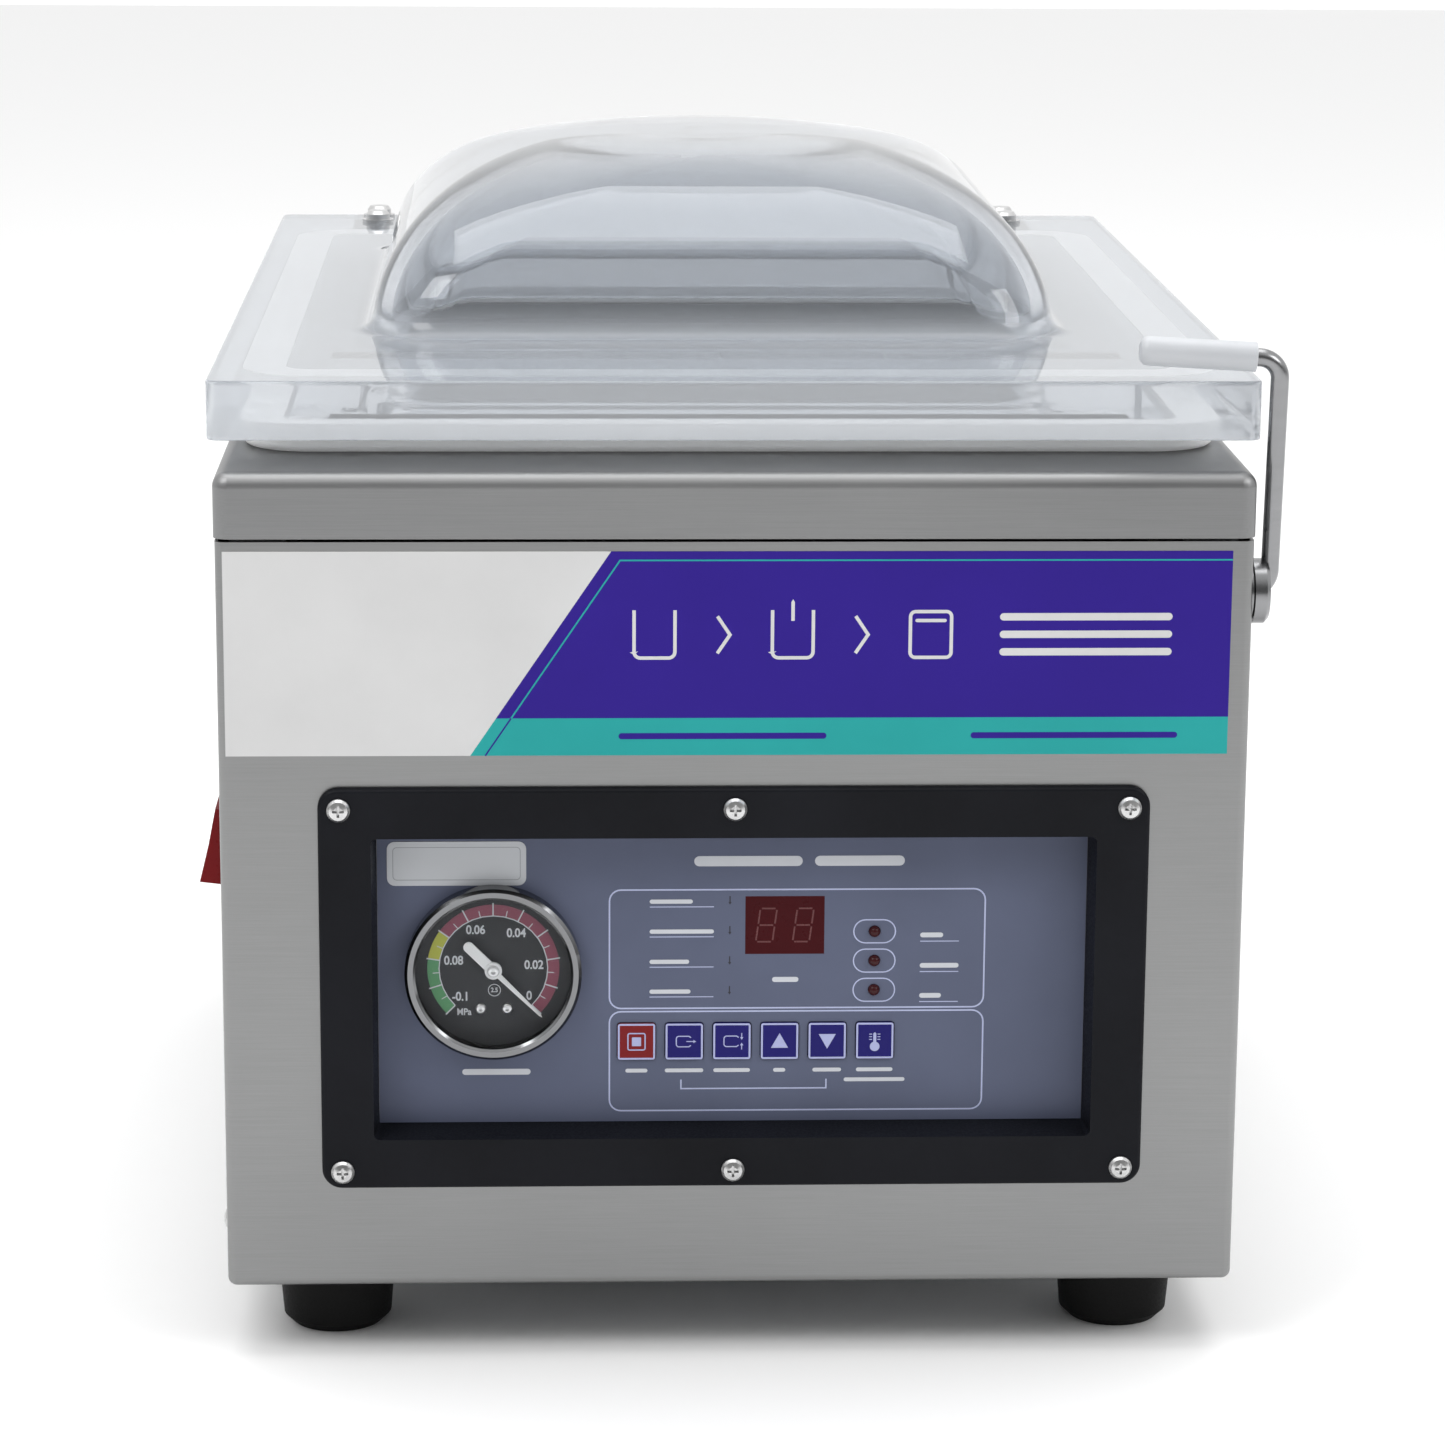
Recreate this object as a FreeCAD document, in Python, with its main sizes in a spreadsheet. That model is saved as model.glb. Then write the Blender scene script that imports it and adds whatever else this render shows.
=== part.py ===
import FreeCAD, Part
import math
import os
import re

import Sketcher

# Table-top vacuum chamber sealer, an assembly of separate pieces.
# X runs across the machine (plus is the operator's right), Y from front to back, Z up.
# The origin is on the floor, under the middle of the cabinet.  Sizes are in millimetres.

V = FreeCAD.Vector

DIMENSIONS = {
    # cabinet
    "cabinet_width": 330, "cabinet_depth": 470, "cabinet_top": 273, "sheet_gauge": 1.2,
    "bend_radius": 3, "flange_return": 20, "tray_gauge": 1.6, "tray_wall": 22,
    "post_leg": 18, "post_gauge": 2,
    "deck_skirt": 274, "deck_top": 295, "deck_gauge": 1.5, "deck_overhang": 0.5, "deck_bend": 5,
    "notch_width": 22, "notch_depth": 28,
    # feet
    "foot_height": 25, "foot_top_radius": 19.8, "foot_end_radius": 18, "foot_hole": 7, "bolt_radius": 3,
    "foot_spacing": 262, "foot_setback": 40, "foot_rear_setback": 430,
    # chamber
    "chamber_width": 280, "chamber_front": 58, "chamber_back": 412, "chamber_depth": 50,
    "tank_gauge": 2, "tank_corner": 20, "gasket_outer": 158.8, "gasket_width": 14,
    "gasket_front": 37.5, "gasket_back": 428, "gasket_drop": 8.3, "gasket_seat": 2.5,
    "gasket_corner": 22, "gasket_round": 2,
    # lid
    "lid_half": 167.7, "lid_front": 10.4, "lid_back": 465.4, "lid_under": 303.6,
    "lid_thickness": 18.9, "lid_corner": 4, "dome_half": 116, "dome_shift": -3,
    "dome_front": 107, "dome_back": 370, "dome_height": 58, "dome_corner": 25,
    "dome_growth": 30, "dome_wall": 6, "lid_washer": 6.3, "washer_gauge": 1.2,
    "lid_nut_side": 3.2, "lid_nut_height": 5,
    "counter_setback": 84, "counter_half": 131, "counter_width": 14, "counter_gauge": 3,
    "strip_width": 10, "strip_thickness": 3,
    # hinge
    "hinge_setback": 455, "hinge_height": 284, "hinge_offset": 128, "shaft_radius": 5,
    "shaft_half": 158, "hub_radius": 8, "blade_gauge": 6, "leaf_gauge": 3, "leaf_width": 20,
    "bracket_inside": 139.5, "bracket_gauge": 4, "bore_fit": 0.05,
    "lever_inside": 144, "lever_gauge": 4, "lever_length": 50, "lever_pin": 2.5,
    "spring_middle": 153.4, "spring_radius": 4.8, "spring_wire": 1.4, "anchor_setback": 300,
    "screw_first": 440, "screw_second": 457,
    # seal bar
    "bar_width": 12, "bar_bottom": 268, "bar_top": 288.6, "bar_half": 130,
    "wire_width": 5, "wire_thickness": 0.4, "tape_thickness": 0.3,
    "lift_offset": 95, "lift_radius": 9, "rod_radius": 3, "lift_top": 258,
    # control unit
    "bezel_half": 133.5, "bezel_low": 59.7, "bezel_high": 193.3, "bezel_proud": 3,
    "bezel_corner": 6.5, "lip_half": 116.6, "lip_low": 76.2, "lip_high": 177,
    "lip_corner": 2, "bezel_wall": 3, "wall_draft": 5, "plate_setback": 11.5,
    "plate_gauge": 2, "plate_half": 124, "plate_low": 68, "plate_high": 185,
    "overlay_gauge": 0.5, "overlay_gap": 1.42,
    "bezel_screw_offset": 126.8, "bezel_screw_low": 65.5, "bezel_screw_high": 186.6,
    "screw_head": 3.75, "screw_shank": 1.9, "low_screw_height": 40, "high_screw_height": 255,
    # keys and indicators
    "key_first": -31.2, "key_pitch": 15.6, "key_height": 105, "key_size": 12.3,
    "key_gap": 0.3, "key_proud": 0.7, "key_corner": 1, "key_flange": 14.4,
    "board_setback": 22, "board_gauge": 1.6,
    "window_left": 4.1, "window_right": 29.9, "window_low": 134.4, "window_high": 153.9,
    "lamp_offset": 46.3, "lamp_first": 122.1, "lamp_pitch": 9.9, "lamp_radius": 1.9,
    # gauge
    "gauge_offset": -77.8, "gauge_height": 129.5, "gauge_ring": 28.7, "gauge_lip": 25.2,
    "gauge_front": 4, "gauge_body": 27, "gauge_wall": 1, "gauge_dial_setback": 13,
    "needle_length": 22.4, "needle_tail": 11.2, "needle_gauge": 0.6, "needle_root": 0.9,
    "needle_tip": 0.35, "tail_half": 1.75, "needle_setback": 10.4, "hub_size": 2.8,
    "arbor_radius": 0.8,
    # latch
    "latch_setback": 14, "latch_height": 254.3, "latch_boss": 10.5, "latch_washer": 1,
    "latch_wire": 2.9, "latch_reach": 172, "latch_rise": 77, "latch_bend": 7,
    "latch_lean": 6.5, "grip_start": 164, "grip_end": 127, "grip_radius": 4.7,
    "grip_tilt": 3.4, "latch_inside": 148, "latch_shank": 5.8,
    # power rocker
    "rocker_setback": 35, "rocker_height": 165.9, "rocker_width": 20.4, "rocker_half": 12.6,
    "rocker_proud": 5.9, "rocker_pivot": 4, "rocker_pin": 2, "rocker_angle": 12.5,
    "flange_proud": 1.2, "flange_width": 26, "flange_half": 16.5, "switch_body_depth": 26,
    # pump
    "pump_middle": 40, "pump_axis": 103, "block_front": 125, "block_back": 205,
    "block_half": 50, "block_bottom": 45, "block_top": 158, "motor_radius": 54,
    "stator_bore": 31, "motor_wall": 4, "motor_back": 330, "cowl_back": 366,
    "rotor_shaft": 7, "rotor_radius": 30, "vane_bore": 32, "vane_rotor": 25,
    "fan_front": 338, "fan_back": 354, "fan_radius": 44, "fan_hub": 12, "mount_radius": 11,
    # electrics and pipework
    "inlet_offset": -112, "inlet_height": 62, "inlet_half": 14, "inlet_rise": 10.5,
    "transformer_left": -130, "transformer_right": -60, "transformer_front": 120,
    "transformer_back": 180, "transformer_height": 60, "coil_margin": 12, "coil_overhang": 14,
    "valve_left": -126, "valve_right": -60, "valve_low": 120, "valve_high": 146,
    "valve_half": 13, "stand_gauge": 3, "stand_margin": 4, "coil_first": -108,
    "coil_pitch": 28, "coil_length": 42, "port_radius": 8, "port_length": 8,
    "hose_radius": 6, "hose_bore": 3.5, "feed_offset": -32, "feed_height": 196,
    "line_front": 75, "line_back": 290, "line_offset": -112, "line_height": 205,
    "cradle_front": 300, "cradle_back": 316, "limit_setback": 441,
    "board_left": -45, "board_right": 90, "board_low": 90, "board_high": 162,
    "spacer_inset": 4,
    # vents and side screws
    "vent_pitch": 9, "side_vent_start": 130, "side_vent_end": 200, "side_vent_low": 70,
    "grille_half": 45, "grille_low": 64, "tray_slot_left": -60, "tray_slot_right": -15,
    "tray_slot_first": -60, "tray_slot_pitch": 14, "side_screw_front": 26,
    "side_screw_middle": 240, "side_screw_rear": 440,
    "port_offset": -80, "port_setback": 330, "valve_setback": 330,
}

FRONT = "(-cabinet_depth / 2)"
BACK = "(cabinet_depth / 2)"
SIDE = "(cabinet_width / 2)"
INSIDE = "(cabinet_width / 2 - sheet_gauge)"
TRAY_FLOOR = "(foot_height + sheet_gauge)"
TRAY_TOP = "(foot_height + sheet_gauge + tray_gauge)"
DECK_UNDER = "(deck_top - deck_gauge)"
LID_TOP = "(lid_under + lid_thickness)"
TANK_FLOOR = "(deck_top - chamber_depth)"

TURNS = {
    "up": FreeCAD.Rotation(),
    "down": FreeCAD.Rotation(V(1, 0, 0), 180),
    "front": FreeCAD.Rotation(V(1, 0, 0), 90),
    "back": FreeCAD.Rotation(V(1, 0, 0), -90),
    "right": FreeCAD.Rotation(V(0, 1, 0), 90),
    "left": FreeCAD.Rotation(V(0, 1, 0), -90),
}

document = FreeCAD.newDocument("VacuumChamberSealer")
sheet = document.addObject("Spreadsheet::Sheet", "Dims")
sums = document.addObject("Spreadsheet::Sheet", "Sums")
pieces = []


# ---- the sheet, and formulas written with its aliases ---------------------------------

def fill_sheet():
    for row, (alias, size) in enumerate(DIMENSIONS.items(), 1):
        sheet.set(f"A{row}", alias)
        sheet.set(f"B{row}", str(size))
        sheet.setAlias(f"B{row}", alias)
    document.recompute()


def with_sheet(formula):
    """The formula with the sheet's name before each alias (all aliases hold an underscore)."""
    return re.sub(r"\b([a-z]+(?:_[a-z]+)+)\b", r"Dims.\1", str(formula))


def bind(item, prop, formula):
    item.setExpression(prop, with_sheet(formula))


def number(formula):
    """What a formula comes to, for a sketch's first guess and for hand-set shapes."""
    sums.set("A1", "=" + with_sheet(formula))
    sums.recompute()
    return float(sums.get("A1"))


def behind(distance):
    """A place this far behind the plane of the front panel."""
    return f"({FRONT} + {distance})"


def about(middle, half):
    return (f"({middle} - {half})", f"({middle} + {half})")


def both(half):
    return (f"(-{half})", f"({half})")


# ---- primitives and booleans ----------------------------------------------------------

def place(item, at, turn="up"):
    """Puts an item at a point, facing one of the named ways or turned by a given rotation."""
    rotation = TURNS[turn] if isinstance(turn, str) else turn
    item.Placement = FreeCAD.Placement(V(0, 0, 0), rotation)
    for letter, formula in zip("xyz", at):
        bind(item, "Placement.Base." + letter, formula)
    return item


def box(name, x, y, z):
    item = document.addObject("Part::Box", name)
    for prop, (start, end) in zip(("Length", "Width", "Height"), (x, y, z)):
        bind(item, prop, f"({end}) - ({start})")
    return place(item, (x[0], y[0], z[0]))


def rod(name, radius, at, turn, length):
    """A round bar that starts at a point and runs the way of the turn."""
    item = document.addObject("Part::Cylinder", name)
    bind(item, "Radius", radius)
    bind(item, "Height", length)
    return place(item, at, turn)


def fuse(name, *shapes):
    item = document.addObject("Part::MultiFuse", name)
    item.Shapes = list(shapes)
    return item


def group(name, *shapes):
    """Separate solids that share one node."""
    item = document.addObject("Part::Compound", name)
    item.Links = list(shapes)
    return item


def cut(name, base, *tools):
    item = document.addObject("Part::Cut", name)
    item.Base = base
    item.Tool = tools[0] if len(tools) == 1 else fuse(name + "_tools", *tools)
    return item


def tube(name, outer, inner, at, turn, length):
    return cut(name, rod(name + "_outer", outer, at, turn, length),
               rod(name + "_bore", inner, at, turn, length))


def copies(name, source, places, turn="up"):
    links = []
    for count, at in enumerate(places, 1):
        link = document.addObject("App::Link", f"{name}_{count}")
        link.LinkedObject = source
        links.append(place(link, at, turn))
    return group(name, *links)


def keep(item, name):
    """Names a finished sub-part and puts it on the list that is written out."""
    item.Label = name
    pieces.append((name, item))
    return item


# ---- sketches -------------------------------------------------------------------------

def polygon(points):
    def draw(sketch):
        corners = [V(number(x), number(y), 0) for x, y in points]
        count = len(corners)
        first = sketch.GeometryCount
        for step in range(count):
            sketch.addGeometry(Part.LineSegment(corners[step], corners[(step + 1) % count]), False)
        for step, (x, y) in enumerate(points):
            line = first + step
            after = first + (step + 1) % count
            sketch.addConstraint(Sketcher.Constraint("Coincident", line, 2, after, 1))
            pin_point(sketch, line, x, y)
    return draw


def pin_point(sketch, geometry, x, y, point=1):
    for kind, formula in (("DistanceX", x), ("DistanceY", y)):
        rule = Sketcher.Constraint(kind, -1, 1, geometry, point, number(formula))
        bind(sketch, f"Constraints[{sketch.addConstraint(rule)}]", formula)


def rectangle(x, y):
    return polygon([(x[0], y[0]), (x[1], y[0]), (x[1], y[1]), (x[0], y[1])])


def circle(x, y, radius):
    def draw(sketch):
        centre = V(number(x), number(y), 0)
        ring = sketch.addGeometry(Part.Circle(centre, V(0, 0, 1), number(radius)), False)
        rule = Sketcher.Constraint("Radius", ring, number(radius))
        bind(sketch, f"Constraints[{sketch.addConstraint(rule)}]", radius)
        pin_point(sketch, ring, x, y, 3)
    return draw


def rounded(x, y, radius):
    """A rectangle with round corners: four sides and four tangent arcs."""
    def draw(sketch):
        left, right = number(x[0]), number(x[1])
        low, high = number(y[0]), number(y[1])
        size = number(radius)
        corners = ((right, low, -1, 1), (right, high, -1, -1), (left, high, 1, -1), (left, low, 1, 1))
        sides = (
            ((left + size, low), (right - size, low)), ((right, low + size), (right, high - size)),
            ((right - size, high), (left + size, high)), ((left, high - size), (left, low + size)))
        first = sketch.GeometryCount
        for step in range(4):
            start, end = sides[step]
            sketch.addGeometry(Part.LineSegment(V(*start, 0), V(*end, 0)), False)
            across, up, to_x, to_y = corners[step]
            ring = Part.Circle(V(across + to_x * size, up + to_y * size, 0), V(0, 0, 1), size)
            turn = math.pi / 2
            sketch.addGeometry(Part.ArcOfCircle(ring, (step - 1) * turn, step * turn), False)
        tie_corners(sketch, first)
        rule = Sketcher.Constraint("Radius", first + 1, size)
        bind(sketch, f"Constraints[{sketch.addConstraint(rule)}]", radius)
        for kind, side, formula in (("DistanceY", 0, y[0]), ("DistanceX", 2, x[1]),
                                    ("DistanceY", 4, y[1]), ("DistanceX", 6, x[0])):
            rule = Sketcher.Constraint(kind, -1, 1, first + side, 1, number(formula))
            bind(sketch, f"Constraints[{sketch.addConstraint(rule)}]", formula)
    return draw


def tie_corners(sketch, first):
    for step in range(8):
        after = first + (step + 1) % 8
        sketch.addConstraint(Sketcher.Constraint("Tangent", first + step, 2, after, 1))
    for kind, side in (("Horizontal", 0), ("Vertical", 2), ("Horizontal", 4), ("Vertical", 6)):
        sketch.addConstraint(Sketcher.Constraint(kind, first + side))
    for corner in (3, 5, 7):
        sketch.addConstraint(Sketcher.Constraint("Equal", first + 1, first + corner))


def sketch_on(body, plane, loops, offset="0"):
    sketch = body.newObject("Sketcher::SketchObject", body.Name + "_sketch")
    origin = next(item for item in body.Origin.OriginFeatures if item.Role == plane)
    sketch.AttachmentSupport = [(origin, "")]
    sketch.MapMode = "FlatFace"
    bind(sketch, "AttachmentOffset.Base.z", offset)
    for loop in loops:
        loop(sketch)
    return sketch


# ---- bodies ---------------------------------------------------------------------------

def pad(body, plane, loops, start, end):
    """Adds the loops' area between two places along the axis that the plane faces."""
    offset = f"-({end})" if plane == "XZ_Plane" else start
    feature = body.newObject("PartDesign::Pad", body.Name + "_pad")
    feature.Profile = sketch_on(body, plane, loops, offset)
    bind(feature, "Length", f"({end}) - ({start})")
    document.recompute()
    return body


def pocket(body, plane, loops, start, end, taper=None):
    """Removes the loops' area between two places; a taper narrows it with depth."""
    offset = f"-({start})" if plane == "XZ_Plane" else end
    feature = body.newObject("PartDesign::Pocket", body.Name + "_pocket")
    feature.Profile = sketch_on(body, plane, loops, offset)
    bind(feature, "Length", f"({end}) - ({start})")
    if taper:
        bind(feature, "TaperAngle", f"-({taper}) * 1 deg")
    document.recompute()
    return body


def slab(name, plane, loops, start, end):
    return pad(document.addObject("PartDesign::Body", name), plane, loops, start, end)


def turned(name, points, at=("0", "0", "0"), turn="up"):
    """A piece turned about its own Z axis from a profile of (radius, height) points."""
    body = document.addObject("PartDesign::Body", name)
    sketch = sketch_on(body, "XZ_Plane", [polygon(points)])
    feature = body.newObject("PartDesign::Revolution", name + "_turn")
    feature.Profile = sketch
    feature.ReferenceAxis = (sketch, ["V_Axis"])
    feature.Angle = 360
    document.recompute()
    return place(body, at, turn)


def edges_where(shape, wanted):
    return [f"Edge{i}" for i, edge in enumerate(shape.Edges, 1) if wanted(edge.BoundBox)]


def round_edges(body, radius, wanted):
    """Rounds the edges of the body's last feature whose bounding box is wanted."""
    base = body.Tip
    names = edges_where(base.Shape, wanted)
    feature = body.newObject("PartDesign::Fillet", body.Name + "_fillet")
    feature.Base = (base, names)
    bind(feature, "Radius", radius)
    document.recompute()
    return body


def flat(low, high, target):
    """True where an edge's extent along one axis lies wholly at one value."""
    return abs(low - target) < 0.01 and abs(high - target) < 0.01


def loft(body, kind, sections):
    """Adds or removes a smooth body through round-cornered sections (height, x, y, corner)."""
    sketches = [sketch_on(body, "XY_Plane", [rounded(x, y, corner)], height)
                for height, x, y, corner in sections]
    feature = body.newObject("PartDesign::" + kind, body.Name + "_loft")
    feature.Profile = sketches[0]
    feature.Sections = sketches[1:]
    document.recompute()
    return body


# ---- cabinet --------------------------------------------------------------------------

def slots(span, first, pitch, count, height=4):
    """Vent slots as sketch loops, one above the other in the sketch."""
    return [rectangle(span, (f"({first} + {pitch} * {step})", f"({first} + {pitch} * {step} + {height})"))
            for step in range(count)]


def base_tray():
    outer = both(f"({SIDE} - bend_radius)"), (behind("bend_radius"), f"({BACK} - bend_radius)")
    inner = (both(f"({SIDE} - bend_radius - tray_gauge)"),
             (behind("(bend_radius + tray_gauge)"), f"({BACK} - bend_radius - tray_gauge)"))
    openings = slots(("tray_slot_left", "tray_slot_right"), "tray_slot_first", "tray_slot_pitch", 9)
    openings += [circle(x, y, "bolt_radius") for x, y, z in foot_places("0")]
    body = slab("base_tray_body", "XY_Plane", [rectangle(*outer)] + openings, TRAY_FLOOR, TRAY_TOP)
    pad(body, "XY_Plane", [rectangle(*outer), rectangle(*inner)], TRAY_TOP,
        f"({TRAY_FLOOR} + tray_wall)")
    keep(cut("base_tray_drilled", body, *screw_holes()), "base_tray")


def side_screw_places():
    return [(behind(setback), "low_screw_height") 
            for setback in ("side_screw_front", "side_screw_middle", "side_screw_rear")]


def rear_screw_places():
    return [(x, z) for x in both(f"({SIDE} - 15)") for z in ("low_screw_height", "high_screw_height")]


def screw_holes():
    """Holes in the tray's walls for the screws that hold the side and rear panels."""
    across = [rod(f"tray_side_hole_{step}", "screw_shank", (f"-{SIDE}", y, z), "right",
                  "cabinet_width") for step, (y, z) in enumerate(side_screw_places())]
    along = [rod(f"tray_rear_hole_{step}", "screw_shank", (x, f"({BACK} - 9)", z), "back", "9")
             for step, (x, z) in enumerate(rear_screw_places())]
    return across + along


def bezel_screw_places():
    return [(x, z) for z in ("bezel_screw_low", "bezel_screw_high")
            for x in ("-bezel_screw_offset", "0", "bezel_screw_offset")]


def tray_shape(name, half, low, front, bend):
    """A block closed in front, at both sides and below, with those bends rounded."""
    faces = [("X", number(half)), ("X", -number(half)), ("Y", number(front)), ("Z", number(low))]

    def at_bend(b):
        spans = {"X": (b.XMin, b.XMax), "Y": (b.YMin, b.YMax), "Z": (b.ZMin, b.ZMax)}
        return sum(flat(*spans[axis], target) for axis, target in faces) == 2

    body = slab(name, "XZ_Plane", [rectangle(both(half), (low, "cabinet_top"))], front,
                behind("flange_return"))
    return round_edges(body, bend, at_bend)


def front_panel():
    """The folded front: returned at both sides and along the bottom."""
    outer = tray_shape("front_panel_outside", SIDE, "foot_height", FRONT, "bend_radius")
    inner = tray_shape("front_panel_inside", INSIDE, "foot_height + sheet_gauge",
                       behind("sheet_gauge"), "bend_radius - sheet_gauge")
    opening = rectangle(both("(lip_half + bezel_wall)"),
                        ("lip_low - bezel_wall", "lip_high + bezel_wall"))
    holes = [circle(x, z, "screw_shank") for x, z in bezel_screw_places()]
    window = slab("front_panel_window", "XZ_Plane", [opening] + holes, f"({FRONT} - 1)", behind("5"))
    latch_hole = rod("front_panel_latch_hole", "latch_shank",
                     (f"({SIDE} - 3)", behind("latch_setback"), "latch_height"), "right", "5")
    keep(cut("front_panel_cut", outer, inner, window, latch_hole), "front_panel")


def side_vents():
    return slots(("side_vent_start", "side_vent_end"), "side_vent_low", "vent_pitch", 7)


def side_panel(name, sign, cutouts):
    """One side sheet, with its bottom edge bent inwards, vents and cut-outs."""
    def ordered(*ends):
        return sorted(ends, key=number)

    span = ordered(f"({sign} * {SIDE})", f"({sign} * ({SIDE} - flange_return))")
    hollow = ordered(f"({sign} * {INSIDE})", f"({sign} * ({SIDE} - flange_return - 1))")
    wall = ordered(f"({sign} * ({SIDE} + 1))", f"({sign} * ({SIDE} - 3))")
    low, outer = number("foot_height"), sign * number(SIDE)
    floor, inner = number("foot_height + sheet_gauge"), sign * number(INSIDE)
    body = slab(name + "_body", "XZ_Plane", [rectangle(span, ("foot_height", "cabinet_top"))],
                behind("flange_return"), f"({BACK} - sheet_gauge)")
    round_edges(body, "bend_radius",
                lambda b: flat(b.ZMin, b.ZMax, low) and flat(b.XMin, b.XMax, outer))
    pocket(body, "XZ_Plane",
           [rectangle(hollow, ("foot_height + sheet_gauge", "cabinet_top + 9"))],
           behind("(flange_return - 1)"), f"({BACK} + 1)")
    round_edges(body, "bend_radius - sheet_gauge",
                lambda b: flat(b.ZMin, b.ZMax, floor) and flat(b.XMin, b.XMax, inner))
    screws = [circle(y, z, "screw_shank") for y, z in side_screw_places()]
    pocket(body, "YZ_Plane", side_vents() + screws + cutouts, *wall)
    keep(body, name)


def side_panels():
    switch = rectangle(about(behind("rocker_setback"), "(flange_width / 2 - 1.2)"),
                       about("rocker_height", "(flange_half - 1.2)"))
    side_panel("left_panel", -1, [switch])
    side_panel("right_panel", 1, [])


def rear_panel():
    """The rear sheet, with a flange turned in under the tray."""
    body = slab("rear_panel_body", "XZ_Plane",
                [rectangle(both(SIDE), ("foot_height", "cabinet_top"))],
                f"({BACK} - sheet_gauge)", BACK)
    pad(body, "XY_Plane", [rectangle(both(f"({SIDE} - flange_return)"),
                                     (f"({BACK} - flange_return)", f"({BACK} - sheet_gauge)"))],
        "foot_height", TRAY_FLOOR)
    inlet = rectangle(about("inlet_offset", "inlet_half"), about("inlet_height", "inlet_rise"))
    grille = slots(about("pump_middle", "grille_half"), "grille_low", "vent_pitch", 9)
    screws = [circle(x, z, "screw_shank") for x, z in rear_screw_places()]
    pocket(body, "XZ_Plane", [inlet] + grille + screws, f"({BACK} - 4)", f"({BACK} + 1)")
    keep(body, "rear_panel")


def corner_posts():
    """Four angle uprights that stand in the tray and carry the deck."""
    side, front = f"({SIDE} - bend_radius - tray_gauge)", "(bend_radius + tray_gauge)"
    near = (behind(front), behind(f"({front} + post_leg)"))
    far = (f"({BACK} - {front} - post_leg)", f"({BACK} - {front})")
    height = (TRAY_TOP, DECK_UNDER)
    posts = []
    for end, (start, finish), leaf in (("front", near, (near[0], f"({near[0]} + post_gauge)")),
                                       ("rear", far, (f"({far[1]} - post_gauge)", far[1]))):
        for name, sign in (("left", "-1"), ("right", "1")):
            wide = sorted((f"({sign} * {side})", f"({sign} * ({side} - post_leg))"), key=number)
            thin = sorted((f"({sign} * {side})", f"({sign} * ({side} - post_gauge))"), key=number)
            label = f"{end}_{name}_post"
            posts.append(fuse(label, box(label + "_across", wide, leaf, height),
                              box(label + "_along", thin, (start, finish), height)))
    hole = rod("latch_post_hole", "latch_shank", (f"({SIDE} - 20)", behind("latch_setback"),
                                                  "latch_height"), "right", "20")
    posts[1] = cut("front_right_post_drilled", posts[1], hole)
    keep(group("corner_posts_group", *posts), "corner_posts")


def notch_spans():
    return [about(f"({sign} * hinge_offset)", "notch_width / 2") for sign in ("-1", "1")]


def deck():
    """The cap: a folded sheet with a mouth for the tank and two hinge notches at the rear."""
    side, depth = f"({SIDE} + deck_overhang)", f"({BACK} + deck_overhang)"
    top = number("deck_top")
    ceiling = number(DECK_UNDER)
    body = slab("deck_body", "XY_Plane", [rounded(both(side), both(depth), "deck_bend")],
                "deck_skirt", "deck_top")
    round_edges(body, "deck_bend - 0.2", lambda b: flat(b.ZMin, b.ZMax, top))
    pocket(body, "XY_Plane",
           [rounded(both(f"({side} - deck_gauge)"), both(f"({depth} - deck_gauge)"),
                    "deck_bend - deck_gauge")],
           "deck_skirt - 1", DECK_UNDER)
    round_edges(body, "deck_bend - 0.2 - deck_gauge", lambda b: flat(b.ZMin, b.ZMax, ceiling))
    pocket(body, "XY_Plane", [rounded(*tank_outline("tank_gauge"), "tank_corner + tank_gauge")],
           "deck_skirt", "deck_top + 1")
    for span in notch_spans():
        pocket(body, "XY_Plane",
               [rectangle(span, (f"({depth} - notch_depth)", f"({depth} + 1)"))],
               "deck_skirt - 1", "deck_top + 1")
    keep(body, "deck")


# ---- chamber --------------------------------------------------------------------------

def tank_outline(wall):
    return (both(f"(chamber_width / 2 + {wall})"),
            (behind(f"(chamber_front - {wall})"), behind(f"(chamber_back + {wall})")))


def chamber_tank():
    floor = number(TANK_FLOOR)
    body = slab("chamber_tank_body", "XY_Plane",
                [rounded(*tank_outline("tank_gauge"), "tank_corner + tank_gauge")],
                f"({TANK_FLOOR} - tank_gauge)", "deck_top")
    pocket(body, "XY_Plane", [rounded(*tank_outline("0"), "tank_corner")],
           TANK_FLOOR, "deck_top + 1")
    round_edges(body, "5", lambda b: flat(b.ZMin, b.ZMax, floor))
    pocket(body, "XY_Plane", [circle("port_offset", behind("port_setback"), "hose_bore")],
           f"({TANK_FLOOR} - tank_gauge - 1)", f"({TANK_FLOOR} + 1)")
    keep(body, "chamber_tank")


def gasket_outline():
    """The outer and inner edges of the seal round the chamber."""
    inner = (both("(gasket_outer - gasket_width)"),
             (behind("(gasket_front + gasket_width)"), behind("(gasket_back - gasket_width)")))
    return [rounded(both("gasket_outer"), (behind("gasket_front"), behind("gasket_back")),
                    "gasket_corner"),
            rounded(*inner, "gasket_corner - gasket_width")]


def chamber_gasket():
    """The seal, held in a shallow groove under the lid, just clear of the deck."""
    low = "(lid_under - gasket_drop)"
    body = slab("chamber_gasket_body", "XY_Plane", gasket_outline(), low, "lid_under + gasket_seat")
    bottom = number(low)
    round_edges(body, "gasket_round", lambda b: flat(b.ZMin, b.ZMax, bottom))
    keep(body, "chamber_gasket")


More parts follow.
